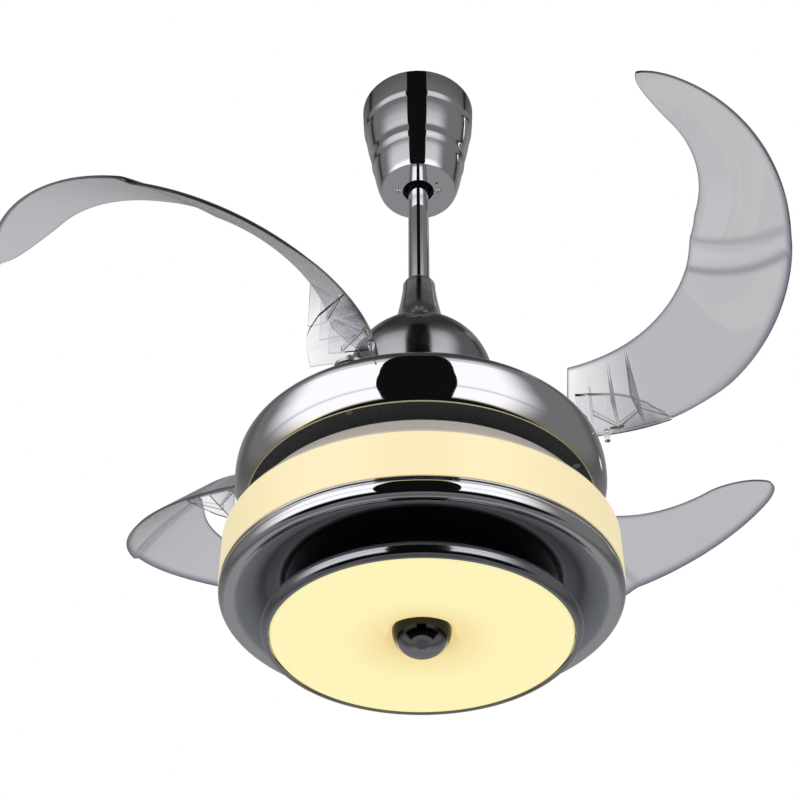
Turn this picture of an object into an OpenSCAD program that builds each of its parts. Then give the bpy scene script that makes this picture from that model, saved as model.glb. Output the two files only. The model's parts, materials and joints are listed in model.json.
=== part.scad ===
// Retractable blade ceiling fan with a lamp.
// Millimetres, +Z up. The origin is the centre of the hanger plate, on the ceiling.
// Heights of the motor and the lamp are counted up from the bottom edge of the
// lamp's side diffuser, which hangs fan_drop below the ceiling.

/* [Overall] */
// Ceiling to the bottom edge of the side diffuser
fan_drop = 786; // [640:1:1200]
// Radius of the lamp over its side diffuser
lamp_r = 215; // [179:1:260]

/* [Canopy] */
// Height of the canopy
canopy_h = 159; // [120:1:200]
// Radius of the canopy at the ceiling
canopy_r = 76.5; // [72:0.5:95]
// Radius of the canopy's flat bottom
canopy_bottom_r = 49.7; // [46:0.1:62]
// Sheet thickness of the canopy
canopy_wall = 1.2; // [0.8:0.1:2]
// Room round the downrod in the canopy's hole, for its swing
rod_room = 7.45; // [5.5:0.05:9]
// Distance between the two ceiling bolts
ceiling_bolt_spacing = 104; // [96:1:112]
// Radius of a ceiling bolt hole
ceiling_bolt_hole_r = 3; // [2:0.1:4]

/* [Downrod] */
// Outer radius of the downrod
rod_r = 13.35; // [11:0.05:16.1]
// Wall of the downrod
rod_wall = 2.4; // [1.5:0.1:4]
// Radius of the hanger ball
ball_r = 26; // [24:0.1:31.5]

/* [Motor] */
// Outer radius of the motor dome
dome_r = 88; // [80:0.1:106]
// Outer radius of the fixed motor shaft
shaft_r = 8.5; // [7:0.1:10.3]
// Radius of the cable bore in the shaft
shaft_bore_r = 5; // [3:0.5:6]
// Outer radius of the two ball bearings
bearing_r = 20; // [17:0.5:22]

/* [Drum] */
// Outer radius of the drum that carries the blades
drum_r = 207.5; // [195:0.5:250]
// Height of the drum's wall
drum_h = 62.5; // [55:0.5:76]
// Sheet thickness of the drum
drum_wall = 1.5; // [1:0.1:2.5]

/* [Blades] */
// How far a folded blade's edge stands out over the drum
blade_overhang = 5.5; // [0:0.5:10]
// Width of a blade at the middle
blade_w = 89; // [74:1:95]
// Arc that a blade covers, in degrees
blade_arc = 168; // [150:1:172]
// Thickness of a blade
blade_t = 3.2; // [2.6:0.1:4]
// Height that the blade's outer edge climbs from root to tip
outer_climb = 107; // [90:1:120]
// Height of the blade's inner edge over the outer edge at the root, at full width
root_rise = 98; // [85:1:104]
// Height that the blade's inner edge climbs from root to tip
inner_climb = 41; // [30:1:48]
// Height of the step across the blade
joggle_h = 6; // [0:0.5:10]
// Distance of the blade pivots inside the drum's wall
pivot_inset = 25.5; // [25:0.5:30]
// Azimuth of the first pivot, in degrees
pivot_az = -23.6; // [-90:0.1:90]
// Angle that a blade turns from folded to open
fold = 113.2; // [90:0.1:118]

/* [Sync gear] */
// Gear module
gear_module = 2; // [1.8:0.1:2.1]
// Teeth of the whole circle that a blade hub's sector is part of
hub_teeth = 30; // [28:1:31]
// Radius of a pivot post
post_r = 5; // [4:0.1:6]

/* [Lamp] */
// Height of the side diffuser
band_h = 54; // [44:1:64]
// Width of the dish between the lamp's side and its neck
dish_w = 67; // [60:1:80]
// How far the bezel and the bottom diffuser stand out past the neck
bezel_w = 10; // [8:0.5:14]
// Wall of the diffusers
diffuser_wall = 3; // [2:0.2:4]
// Radius of the round finial
finial_r = 31.5; // [24:0.5:36]
// Height of the finial below its rim
finial_h = 30.5; // [20:0.5:44]

/* [Hidden] */
$fn = 96;

// Clearances
running = 0.06;      // between a shaft or a post and what turns on it
seated = 0.03;       // between a fixed piece and the bore that it sits in
screw_room = 0.3;    // between a screw and its clearance hole
clear = 0.3;         // between curved faces that move past each other
gap = 0.1;           // between faces that lie on each other
eps = 0.01;

// Colours
chrome = [0.72, 0.73, 0.75];
steel = [0.62, 0.63, 0.65];
dark = [0.2, 0.2, 0.22];
opal = [1, 0.93, 0.7];
white = [0.9, 0.9, 0.88];
led = [1, 0.9, 0.4];
aluminium = [0.7, 0.7, 0.72];
copper = [0.75, 0.4, 0.18];
brass = [0.82, 0.7, 0.42];
nylon = [0.75, 0.72, 0.62];
smoke = [0.7, 0.7, 0.74, 0.5];

// Levels, from the ceiling down
plate_t = 2.5;
seat_plate_z = -(canopy_h - 9);
ball_z = seat_plate_z + ball_r + 2;
base = -fan_drop;
function up(h) = base + h;

// Levels of the lamp, from the bottom edge of the side diffuser
neck_r = lamp_r - dish_w;
disc_r = neck_r + bezel_w;
sheet_t = 1.2;
pan_top = band_h + 36;
ring_low = -19.5;
dish_top = 13;
neck_low = -37;
disc_low = -56;
finial_rim = -43;

// Levels of the drum
drum_low = pan_top + 17;
drum_top = drum_low + drum_h;
tray_z = drum_low + 9;
tray_t = 3;
tray_top = tray_z + tray_t;
gear_z = tray_top + 2;
gear_t = 8;
flange_t = 3.5;
hub_flange_t = 4.5;
hub_top = drum_top + 6.5;
blade_root_z = hub_top + flange_t / 2;
post_top = hub_top + flange_t + 2;

// Levels of the motor
dome_top = drum_top + 208.5;
dome_centre = dome_top - dome_r;
rotor_split = tray_top + 50;
rotor_top_z = tray_top + 104;
rotor_r = dome_r - 5;
rotor_wall = 6;
bearing_t = 12;
yoke_low = dome_top + 14;
cover_low = dome_top - 1;
cover_top = dome_top + 77;

// Blades and their hubs
blade_count = 4;
quarter = 360 / blade_count;
blade_outer_r = drum_r + blade_overhang;
blade_in_r = blade_outer_r - blade_w;
pivot_r = drum_r - pivot_inset;
bush_wall = 2;
hub_r = post_r + bush_wall + 3;
screw_pcd_r = hub_r + 3;
screw_r = 1.95;

// Gears
hub_pitch_r = gear_module * hub_teeth / 2;
ring_pitch_r = pivot_r - hub_pitch_r;
ring_teeth = 2 * ring_pitch_r / gear_module;
ring_inner_r = ring_pitch_r - 14;
sector_margin = 12;

// A polar point
function pol(r, a) = [r * cos(a), r * sin(a)];
// Points of an arc about c, both ends included
function arc(c, r, a0, a1, n) = [for (i = [0:n]) c + pol(r, a0 + (a1 - a0) * i / n)];

// Puts a piece at each of the four pivots, still in the folded direction
module at_pivots() {
    for (k = [0:blade_count - 1])
        rotate([0, 0, pivot_az + quarter * k])
            translate([pivot_r, 0, 0])
                children();
}

// Turns a folded blade's pieces out to the open position of blade number k
module opened(k) {
    rotate([0, 0, pivot_az + quarter * (k - 1)])
        translate([pivot_r, 0, 0])
            rotate([0, 0, fold])
                translate([-pivot_r, 0, 0])
                    children();
}

module ring(r_out, r_in, z0, z1) {
    translate([0, 0, z0])
        difference() {
            cylinder(h = z1 - z0, r = r_out);
            translate([0, 0, -1])
                cylinder(h = z1 - z0 + 2, r = r_in);
        }
}

// ---------- ceiling mount ----------

arm_x = canopy_bottom_r - canopy_wall - 9.5;
arm_w = 24;
plate_r = canopy_r - 9;
cable_hole_r = 11;
canopy_hole_r = rod_r + rod_room;
canopy_screw_r = 2;
canopy_screw_x = canopy_hole_r + 5.7;

// Pressed strap: a round plate on the ceiling, two arms and a plate under the ball
module hanger_bracket() {
    color(steel) {
        difference() {
            translate([0, 0, -plate_t])
                cylinder(h = plate_t, r = plate_r);
            translate([0, 0, -plate_t - 1])
                cylinder(h = plate_t + 2, r = cable_hole_r);
            for (s = [-1, 1])
                translate([s * ceiling_bolt_spacing / 2, 0, -plate_t - 1])
                    cylinder(h = plate_t + 2, r = ceiling_bolt_hole_r);
        }
        for (s = [-1, 1])
            translate([s * arm_x - plate_t / 2, -arm_w / 2, seat_plate_z + eps])
                cube([plate_t, arm_w, -seat_plate_z - plate_t]);
        difference() {
            translate([-arm_x - plate_t / 2, -arm_w / 2, seat_plate_z - plate_t])
                cube([2 * arm_x + plate_t, arm_w, plate_t + 2 * eps]);
            translate([0, 0, seat_plate_z - plate_t - 1])
                cylinder(h = plate_t + 2, r = canopy_hole_r);
            for (s = [-1, 1])
                translate([s * canopy_screw_x, 0, seat_plate_z - plate_t - 1])
                    cylinder(h = plate_t + 2, r = canopy_screw_r + seated);
        }
    }
}

// The cup that the hanger ball rolls in
module ball_seat() {
    seat_r = max(ball_r + 4, canopy_screw_x + 3.5);
    color(dark)
        difference() {
            translate([0, 0, seat_plate_z + 2 * eps])
                cylinder(h = 20, r = seat_r);
            translate([0, 0, ball_z])
                sphere(r = ball_r + clear);
            translate([0, 0, seat_plate_z - 1])
                cylinder(h = 30, r = canopy_hole_r - 1.5);
            for (s = [-1, 1])
                translate([s * canopy_screw_x, 0, seat_plate_z - 1])
                    cylinder(h = 9, r = canopy_screw_r + screw_room);
        }
}

// Outline of the canopy's outside, three shallow steps from the ceiling down
function canopy_outline() = let (r0 = canopy_r, r3 = canopy_bottom_r, h = canopy_h, d = r0 - r3) [
    [r0, 0],
    [r0 - 0.03 * d, -0.12 * h],
    [r0 - 0.12 * d, -0.26 * h],
    [r0 - 0.24 * d, -0.35 * h],
    [r0 - 0.30 * d, -0.37 * h],
    [r0 - 0.34 * d, -0.43 * h],
    [r0 - 0.44 * d, -0.55 * h],
    [r0 - 0.60 * d, -0.67 * h],
    [r0 - 0.70 * d, -0.72 * h],
    [r0 - 0.74 * d, -0.74 * h],
    [r0 - 0.74 * d, -0.79 * h],
    [r0 - 0.80 * d, -0.87 * h],
    [r0 - 0.92 * d, -0.965 * h],
    [r3, -h]
];

module canopy() {
    wall = canopy_wall;
    pts = canopy_outline();
    n = len(pts);
    color(chrome)
        difference() {
            rotate_extrude()
                polygon(concat(
                    pts,
                    [[canopy_hole_r, -canopy_h], [canopy_hole_r, -canopy_h + wall]],
                    [for (i = [n - 1:-1:0]) [pts[i][0] - wall, max(pts[i][1], -canopy_h + wall)]]
                ));
            for (s = [-1, 1])
                translate([s * canopy_screw_x, 0, -canopy_h - 1])
                    cylinder(h = 4, r = canopy_screw_r + screw_room);
            translate([canopy_screw_x - 2, -15, -canopy_h - 1])
                cylinder(h = 4, r = 1.6);
        }
}

module canopy_screws() {
    color(chrome)
        for (s = [-1, 1])
            translate([s * canopy_screw_x, 0, 0]) {
                translate([0, 0, -canopy_h - 2.2])
                    cylinder(h = 2.2, r = 2 * canopy_screw_r);
                translate([0, 0, -canopy_h - eps])
                    cylinder(h = canopy_h + seat_plate_z + 4, r = canopy_screw_r);
            }
}

receiver_top = -44;
receiver_h = 26;

// Remote-control receiver, clipped between the bracket's arms
module receiver_box() {
    w = 2 * arm_x - plate_t;
    color(white)
        translate([-w / 2, -22, receiver_top - receiver_h])
            cube([w, 44, receiver_h]);
}

// Three-way block on top of the receiver for the supply wires
module terminal_block() {
    color([0.15, 0.35, 0.65])
        translate([-18, -8, receiver_top + gap])
            difference() {
                cube([36, 16, 12]);
                for (i = [0:2])
                    translate([6 + 12 * i, 8, 4])
                        cylinder(h = 9, r = 2.2);
            }
}

// ---------- hanging column ----------

rod_top = ball_z + ball_r + 8;
rod_low = up(yoke_low) + 16;
yoke_top = up(yoke_low) + 52;
yoke_r = rod_r + 4;
pin_r = 3;
pin_z = ball_z + 6;
bolt_z = yoke_top - 12;

module hanger_ball() {
    color(nylon)
        difference() {
            intersection() {
                translate([0, 0, ball_z])
                    sphere(r = ball_r);
                translate([0, 0, ball_z - ball_r + 3])
                    cylinder(h = 2 * ball_r - 9, r = ball_r + 1);
            }
            translate([0, 0, ball_z - ball_r])
                cylinder(h = 2 * ball_r, r = rod_r + seated);
            translate([-ball_r - 1, 0, pin_z])
                rotate([0, 90, 0])
                    cylinder(h = 2 * ball_r + 2, r = pin_r + seated);
        }
}

module ball_pin() {
    color(steel)
        translate([-ball_r + 3, 0, pin_z])
            rotate([0, 90, 0])
                cylinder(h = 2 * ball_r - 6, r = pin_r);
}

module downrod() {
    color(chrome)
        difference() {
            translate([0, 0, rod_low])
                cylinder(h = rod_top - rod_low, r = rod_r);
            translate([0, 0, rod_low - 1])
                cylinder(h = rod_top - rod_low + 2, r = rod_r - rod_wall);
            for (z = [pin_z, bolt_z])
                translate([-rod_r - 1, 0, z])
                    rotate([0, 90, 0])
                        cylinder(h = 2 * rod_r + 2, r = pin_r + seated);
        }
}

module yoke() {
    color(steel)
        difference() {
            translate([0, 0, up(yoke_low)])
                cylinder(h = yoke_top - up(yoke_low), r = yoke_r);
            translate([0, 0, rod_low - eps])
                cylinder(h = 60, r = rod_r + seated);
            translate([0, 0, up(yoke_low) - 1])
                cylinder(h = 30, r = shaft_r + seated);
            translate([-yoke_r - 1, 0, bolt_z])
                rotate([0, 90, 0])
                    cylinder(h = 2 * yoke_r + 2, r = pin_r + seated);
        }
}

module yoke_bolt() {
    color(steel)
        translate([-yoke_r - 0.5, 0, bolt_z])
            rotate([0, 90, 0])
                cylinder(h = 2 * yoke_r + 1, r = pin_r);
}

// Bell-shaped cover that slides down the rod over the yoke
function cover_outline() = let (z0 = up(cover_low), h = cover_top - cover_low, r = rod_r) concat(
    [[r + 23, z0], [r + 19.5, z0 + 0.09 * h], [r + 15, z0 + 0.25 * h], [r + 12.2, z0 + 0.42 * h],
     [r + 9.4, z0 + 0.63 * h], [r + 7.2, z0 + 0.85 * h]],
    arc([r + 2.6, z0 + h - 4.4], 4.4, 12, 90, 5)
);

module yoke_cover() {
    wall = sheet_t;
    pts = cover_outline();
    n = len(pts);
    color(chrome)
        rotate_extrude()
            polygon(concat(
                pts,
                [[rod_r + clear, up(cover_top)], [rod_r + clear, up(cover_top) - wall]],
                [for (i = [n - 1:-1:0]) [pts[i][0] - wall, min(pts[i][1], up(cover_top) - wall)]]
            ));
}

shaft_low = up(pan_top) - 22;
shaft_top = up(yoke_low) + 14;
collar_r = shaft_r + 3;

// Fixed hollow shaft: the cable to the lamp runs down its bore
module motor_shaft() {
    color(steel)
        difference() {
            union() {
                translate([0, 0, shaft_low])
                    cylinder(h = shaft_top - shaft_low, r = shaft_r);
                translate([0, 0, up(rotor_split) - 20])
                    cylinder(h = 40, r = collar_r);
            }
            translate([0, 0, shaft_low - 1])
                cylinder(h = shaft_top - shaft_low + 2, r = shaft_bore_r);
        }
}

stator_r = rotor_r - 20;
stator_t = 26;
slot_r = 7;
coil_r = 8;

module stator_core() {
    slots = 12;
    color([0.35, 0.36, 0.38])
        difference() {
            translate([0, 0, up(rotor_split)])
                ring(stator_r, collar_r + seated, -stator_t / 2, stator_t / 2);
            for (i = [0:slots - 1])
                rotate([0, 0, 360 / slots * i])
                    translate([stator_r - 12, 0, up(rotor_split) - stator_t])
                        cylinder(h = 2 * stator_t, r = slot_r);
        }
}

// Two rings of winding over the ends of the core
module stator_winding() {
    color(copper)
        for (s = [-1, 1])
            translate([0, 0, up(rotor_split) + s * (stator_t / 2 + coil_r + gap)])
                rotate_extrude()
                    translate([stator_r - 14, 0])
                        circle(r = coil_r);
}

// Hexagon nuts on the shaft, one under the lamp's pan and one on it
module lamp_hanger_nut() {
    nut_h = 7;
    color(steel)
        for (z = [up(pan_top) - sheet_t - gap - nut_h, up(pan_top) + gap])
            difference() {
                translate([0, 0, z])
                    cylinder(h = nut_h, r = shaft_r + 7, $fn = 6);
                translate([0, 0, z - 1])
                    cylinder(h = nut_h + 2, r = shaft_r + seated);
            }
}

// ---------- lamp ----------

// Pressed pan that closes the lamp on top and carries its shoulder
module lamp_pan() {
    r1 = lamp_r - 28;
    r2 = lamp_r - 2;
    color(white)
        rotate_extrude()
            polygon([
                [shaft_r + seated, up(pan_top)], [r1 - 3, up(pan_top)], [r1, up(pan_top) - 2],
                [r2 - 1, up(band_h) + 2.5], [r2, up(band_h) + gap], [r2 - 16, up(band_h) + gap],
                [r2 - 16, up(band_h) + gap + sheet_t], [r2 - 3, up(band_h) + gap + sheet_t],
                [r1 - 1, up(pan_top) - 3], [r1 - 3.5, up(pan_top) - sheet_t],
                [shaft_r + seated, up(pan_top) - sheet_t]
            ]);
}

module side_diffuser() {
    color(opal)
        rotate_extrude()
            polygon([
                [lamp_r - diffuser_wall, up(0) + gap], [lamp_r - 0.6, up(0) + gap], [lamp_r, up(0) + 1],
                [lamp_r, up(band_h) - 3], [lamp_r - 1, up(band_h) - 0.8], [lamp_r - 2.4, up(band_h)],
                [lamp_r - diffuser_wall - 2, up(band_h)], [lamp_r - diffuser_wall, up(band_h) - 3]
            ]);
}

flange_in = lamp_r - 26;

// Spun ring below the side diffuser: rolled edge, dish and neck in one sheet
module lamp_ring() {
    wall = sheet_t;
    outer = concat(
        [[flange_in, up(0)], [lamp_r - 0.8, up(0)]],
        arc([lamp_r - 11, up(ring_low) + 10.2], 10.2, 20, -90, 9),
        [[lamp_r - 17, up(ring_low) + 1.2], [lamp_r - 26, up(ring_low) + 5.5],
         [lamp_r - 40, up(ring_low) + 15], [neck_r + 14, up(dish_top) - 4.5],
         [neck_r + 5, up(dish_top) - 0.8], [neck_r + 1, up(dish_top) - 1.2],
         [neck_r - 1.2, up(dish_top) - 4.5], [neck_r - 1.5, up(dish_top) - 12], [neck_r, up(neck_low)]]
    );
    inner = [
        [neck_r - wall, up(neck_low)], [neck_r - wall - 1.5, up(dish_top) - 12],
        [neck_r - wall - 1.3, up(dish_top) - 2.5], [neck_r + 1, up(dish_top) + 0.6],
        [neck_r + 6, up(dish_top) + 0.6], [neck_r + 15, up(dish_top) - 3.2],
        [lamp_r - 39.2, up(ring_low) + 16.2],
        [lamp_r - 25.2, up(ring_low) + 6.8], [lamp_r - 17, up(ring_low) + 2.5]
    ];
    rim = arc([lamp_r - 11, up(ring_low) + 10.2], 9, -90, 20, 9);
    color(chrome)
        rotate_extrude()
            polygon(concat(outer, inner, rim, [[lamp_r - 2, up(0) - wall], [flange_in, up(0) - wall]]));
}

// Dark ring that holds the bottom diffuser up to the neck
module bezel() {
    r = disc_r + 1.2;
    color([0.4, 0.41, 0.43])
        rotate_extrude()
            polygon(concat(
                [[neck_r + 0.2, up(neck_low) + 4], [neck_r + 1.4, up(neck_low) + 4],
                 [neck_r + 1.6, up(neck_low)], [disc_r - 2, up(neck_low) - 3.5]],
                arc([disc_r + 2.5, up(disc_low) + 8], 7.2, 70, -70, 8),
                [[r, up(disc_low) - 0.6], [r - 0.9, up(disc_low) + 0.2], [r - 0.9, up(neck_low) - 8]],
                [[neck_r + 0.2, up(neck_low) - 1.5]]
            ));
}

// Dished opal disc with a dimple that the finial sits in
module bottom_diffuser() {
    t = diffuser_wall;
    low = concat(
        [[disc_r, up(disc_low) + 2.4], [disc_r - 2.5, up(disc_low) + 0.3],
         [disc_r - 10, up(disc_low) - 0.6], [disc_r * 0.7, up(disc_low) - 1.6],
         [disc_r * 0.45, up(disc_low) - 1], [finial_r + 20, up(disc_low) + 1.6],
         [finial_r + 9, up(disc_low) + 5], [finial_r + 1.5, up(finial_rim) + 0.5],
         [stud_r + 2, up(finial_rim) + 1]]
    );
    n = len(low);
    color(opal)
        rotate_extrude()
            polygon(concat(low, [for (i = [n - 1:-1:0]) low[i] + [0, t]]));
}

stud_r = 3;
stud_in = 12;

// Turned knob that holds the bottom diffuser's middle
module finial() {
    n = 14;
    color(chrome)
        difference() {
            rotate_extrude()
                polygon(concat(
                    [[0, up(finial_rim) + 0.4], [finial_r - 1, up(finial_rim) + 0.4]],
                    [for (i = [0:n]) let (a = 90 * i / n)
                        [finial_r * cos(a), up(finial_rim) - finial_h * sin(a)]]
                ));
            translate([0, 0, up(finial_rim) - stud_in - 2])
                cylinder(h = 20, r = stud_r + seated);
        }
}

carrier_t = 1.5;
carrier_z = dish_top + 2.5;
carrier_top = carrier_z + carrier_t;

module finial_stud() {
    color(steel)
        translate([0, 0, up(finial_rim) - stud_in])
            cylinder(h = carrier_top + 6 - finial_rim + stud_in, r = stud_r);
}

standoff_count = 4;
standoff_r = neck_r - 26;
standoff_shank_r = 2;

// Puts a piece at each of the lamp's standoffs
module at_standoffs() {
    for (i = [0:standoff_count - 1])
        rotate([0, 0, 45 + 360 / standoff_count * i])
            translate([standoff_r, 0, 0])
                children();
}

// White dish over the lamp ring: its rim lies on the ring's flange
module led_carrier() {
    t = carrier_t;
    z = up(0) + gap;
    color(white)
        difference() {
            rotate_extrude()
                polygon([
                    [stud_r + seated, up(carrier_z)], [flange_in - 12, up(carrier_z)], [flange_in - 4, z],
                    [flange_in + 8, z], [flange_in + 8, z + t], [flange_in - 3, z + t],
                    [flange_in - 11, up(carrier_top)], [stud_r + seated, up(carrier_top)]
                ]);
            at_standoffs()
                translate([0, 0, up(carrier_z) - 1])
                    cylinder(h = 4, r = standoff_shank_r + gap);
        }
}

board_t = 1.6;
led_w = 3;
led_t = 1;

// Board under the carrier with one ring of lights
module bottom_led_board() {
    lights = 24;
    low = up(carrier_z) - board_t - gap / 2;
    color(white)
        difference() {
            translate([0, 0, low])
                cylinder(h = board_t, r = neck_r - 20);
            translate([0, 0, low - 1])
                cylinder(h = board_t + 2, r = stud_r + 5);
            at_standoffs()
                translate([0, 0, low - 1])
                    cylinder(h = board_t + 2, r = 7);
        }
    color(led)
        for (i = [0:lights - 1])
            rotate([0, 0, 360 / lights * i])
                translate([neck_r - 50, -led_w / 2, low - led_t])
                    cube([led_w, led_w, led_t + eps]);
}

// Upright strip of lights behind the side diffuser
module side_led_board() {
    lights = 36;
    r = flange_in + 6;
    z = up(0) + carrier_t + 2 * gap;
    color(white)
        ring(r, r - board_t, z, up(band_h) - 8);
    color(led)
        for (i = [0:lights - 1])
            rotate([0, 0, 360 / lights * i])
                translate([r - gap, -led_w / 2, z + 18])
                    cube([led_t + gap, led_w, led_w]);
}

// Driver on two feet over the carrier
module led_driver() {
    size = [120, 44, 24];
    foot = 8;
    color(white) {
        translate([-size[0] / 2, -size[1] / 2, up(carrier_top) + gap + foot])
            cube(size);
        for (s = [-1, 1])
            translate([s * 50 - foot / 2, -foot / 2, up(carrier_top) + gap])
                cube([foot, foot, foot + eps]);
    }
}

module lamp_standoffs() {
    z0 = up(carrier_top) + gap;
    z1 = up(pan_top) - sheet_t - gap;
    head_h = 2.4;
    color(steel)
        at_standoffs() {
            translate([0, 0, z0])
                cylinder(h = z1 - z0, r = 4.5);
            translate([0, 0, up(carrier_z) - gap - eps])
                cylinder(h = carrier_t + 2 * gap + 1, r = standoff_shank_r);
            translate([0, 0, up(carrier_z) - gap - head_h])
                cylinder(h = head_h, r = 4);
        }
}

// ---------- rotor ----------

// Lower half of the turning motor case, with the lower bearing's seat
module rotor_bottom() {
    z = up(tray_top);
    seat_top = z + bearing_t + 2;
    color(aluminium)
        rotate_extrude()
            polygon([
                [bearing_r + seated, z], [rotor_r, z], [rotor_r, up(rotor_split)],
                [rotor_r - rotor_wall, up(rotor_split)], [rotor_r - rotor_wall, z + rotor_wall],
                [bearing_r + 5, z + rotor_wall], [bearing_r + 5, seat_top], [bearing_r + seated, seat_top]
            ]);
}

// Upper half, with a chamfered shoulder and the upper bearing's seat
module rotor_top() {
    z = up(rotor_top_z);
    low = up(rotor_split) + gap;
    seat_low = z - bearing_t - 2;
    chamfer = 16;
    color(aluminium)
        rotate_extrude()
            polygon([
                [rotor_r, low], [rotor_r, z - chamfer], [rotor_r - chamfer, z], [bearing_r + seated, z],
                [bearing_r + seated, seat_low], [bearing_r + 5, seat_low], [bearing_r + 5, z - rotor_wall],
                [rotor_r - chamfer - 2, z - rotor_wall], [rotor_r - rotor_wall, z - chamfer - 2],
                [rotor_r - rotor_wall, low]
            ]);
}

module rotor_magnets() {
    magnet_h = 32;
    z = up(rotor_split) - magnet_h / 2;
    color(dark)
        ring(rotor_r - rotor_wall - seated, stator_r + 1, z, z + magnet_h);
}

module bearing(z) {
    color(steel)
        ring(bearing_r, shaft_r + running, z, z + bearing_t);
}

module upper_bearing() {
    bearing(up(rotor_top_z) - bearing_t - 1);
}

module lower_bearing() {
    bearing(up(tray_top) + 1);
}

// Pressed cover over the motor: a straight skirt and a half sphere
module motor_dome() {
    wall = 1.5;
    n = 16;
    hole_a = acos((shaft_r + 6.5) / dome_r);
    color(chrome)
        rotate_extrude()
            polygon(concat(
                [[dome_r - wall, up(tray_top)], [dome_r, up(tray_top)]],
                [for (i = [0:n]) [0, up(dome_centre)] + pol(dome_r, hole_a * i / n)],
                [for (i = [n:-1:0]) [0, up(dome_centre)] + pol(dome_r - wall, hole_a * i / n)]
            ));
}

// Outline of the drum's outside, from the lip under it to the lip on top
function drum_outline() = let (r = drum_r, z = up(drum_low), h = drum_h) [
    [r - 19.5, z + 1.4], [r - 17, z + 0.2], [r - 14, z], [r - 11, z + 1.6], [r - 8, z + 5],
    [r - 5, z + 9], [r - 2.2, z + 10.6], [r - 0.8, z + 14], [r, z + 0.36 * h], [r - 0.2, z + 0.56 * h],
    [r - 1.6, z + 0.72 * h], [r - 4.2, z + 0.86 * h], [r - 7.6, z + 0.955 * h], [r - 11, z + h],
    [pivot_r + hub_r + 2, z + h - 0.4]
];

module drum_shell() {
    pts = drum_outline();
    n = len(pts);
    w = drum_wall;
    color(chrome)
        rotate_extrude()
            polygon(concat(
                pts,
                [for (i = [n - 1:-1:0]) let (
                    a = pts[max(i - 1, 0)],
                    b = pts[min(i + 1, n - 1)],
                    d = (b - a) / norm(b - a)
                ) pts[i] + w * [-d[1], d[0]]]
            ));
}

tray_r = drum_r - 8.5;
guide_r = ring_inner_r - clear;

tray_screw_r = 2.5;
tray_screw_count = 8;

// Puts a piece at each screw that holds the tray to the motor case
module at_tray_screws() {
    for (i = [0:tray_screw_count - 1])
        rotate([0, 0, 360 / tray_screw_count * (i + 0.5)])
            translate([rotor_r - 14, 0, 0])
                children();
}

// Flat plate that carries the pivots, with a raised ring that guides the sync gear
module blade_tray() {
    color(dark)
        difference() {
            union() {
                translate([0, 0, up(tray_z)])
                    cylinder(h = tray_t, r = tray_r);
                ring(guide_r, guide_r - 5, up(tray_top) - eps, up(gear_z) + gear_t + 0.5);
            }
            translate([0, 0, up(tray_z) - 1])
                cylinder(h = 10, r = bearing_r - 4);
            at_tray_screws()
                translate([0, 0, up(tray_z) - 1])
                    cylinder(h = 10, r = tray_screw_r + gap);
            at_pivots()
                translate([0, 0, up(tray_z) - 1])
                    cylinder(h = 10, r = post_r - 1);
        }
}

module tray_screws() {
    head_h = 2.4;
    color(brass)
        at_tray_screws() {
            translate([0, 0, up(tray_z) - gap - head_h])
                cylinder(h = head_h, r = tray_screw_r + 2);
            translate([0, 0, up(tray_z) - 2 * gap])
                cylinder(h = tray_t, r = tray_screw_r);
        }
}

// Shouldered post riveted into the tray at each pivot
module pivot_posts() {
    color(steel)
        at_pivots() {
            translate([0, 0, up(tray_top)])
                cylinder(h = post_top - tray_top, r = post_r);
            translate([0, 0, up(tray_z) - 1.5])
                cylinder(h = tray_t + 2, r = post_r - 1 - seated);
            translate([0, 0, up(tray_top)])
                cylinder(h = gear_z - tray_top - clear, r = post_r + 3);
        }
}

// Round push-on clip on the top of each post
module post_clips() {
    color(steel)
        at_pivots()
            translate([0, 0, up(post_top) + 0.05])
                cylinder(h = 1.5, r = post_r + 2.5);
}

spring_in = hub_r + 2;
spring_h = 20;
wire_r = 1.5;

// Return spring round each hub: a sleeve of turns, and a leg down to the tray
module return_springs() {
    z0 = up(gear_z) + gear_t + 2;
    color(steel)
        at_pivots() {
            ring(spring_in + 2 * wire_r, spring_in, z0, z0 + spring_h);
            translate([spring_in + 2 * wire_r, 0, up(tray_top)])
                cylinder(h = z0 + 4 - up(tray_top), r = wire_r);
        }
}

stop_r = 3;
stop_d = hub_pitch_r - 8;

// Rubber stop that the hub's sector meets when the blade is open
module blade_stops() {
    edge = 180 + (hub_t1 + 0.5) * hub_step + asin(tooth_root_w / 2 / hub_pitch_r);
    a = edge + asin((stop_r + 0.5) / stop_d);
    color(dark)
        at_pivots()
            translate(concat(pol(stop_d, a), [up(tray_top)]))
                cylinder(h = gear_z - tray_top + gear_t - 1, r = stop_r);
}

// Plates on the guide ring that keep the sync gear down, halfway between pivots
module ring_keepers() {
    z = up(gear_z) + gear_t + 0.6;
    color(steel)
        for (k = [0:blade_count - 1])
            rotate([0, 0, pivot_az + quarter * (k + 0.5)])
                translate([guide_r - 4.5, -8, z])
                    cube([10, 16, 1.5]);
}

// ---------- sync gear ----------

add = 0.8 * gear_module;
ded = 1.2 * gear_module;
tooth_root_w = 1.75 * gear_module;
tooth_pitch_w = 1.1 * gear_module;
tooth_tip_w = 0.45 * gear_module;

// Points of one straight-sided tooth at angle a on a wheel of pitch radius r
function tooth(r, a) = let (
    root = asin(tooth_root_w / 2 / r),
    pitch = asin(tooth_pitch_w / 2 / r),
    tip = asin(tooth_tip_w / 2 / r)
) [
    pol(r - ded, a - root), pol(r, a - pitch), pol(r + add, a - tip),
    pol(r + add, a + tip), pol(r, a + pitch), pol(r - ded, a + root)
];

ring_step = 360 / ring_teeth;
ring_travel = fold * hub_teeth / ring_teeth;
ring_t0 = -ceil((ring_travel + 5) / ring_step);
ring_t1 = ceil(5 / ring_step);

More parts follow.
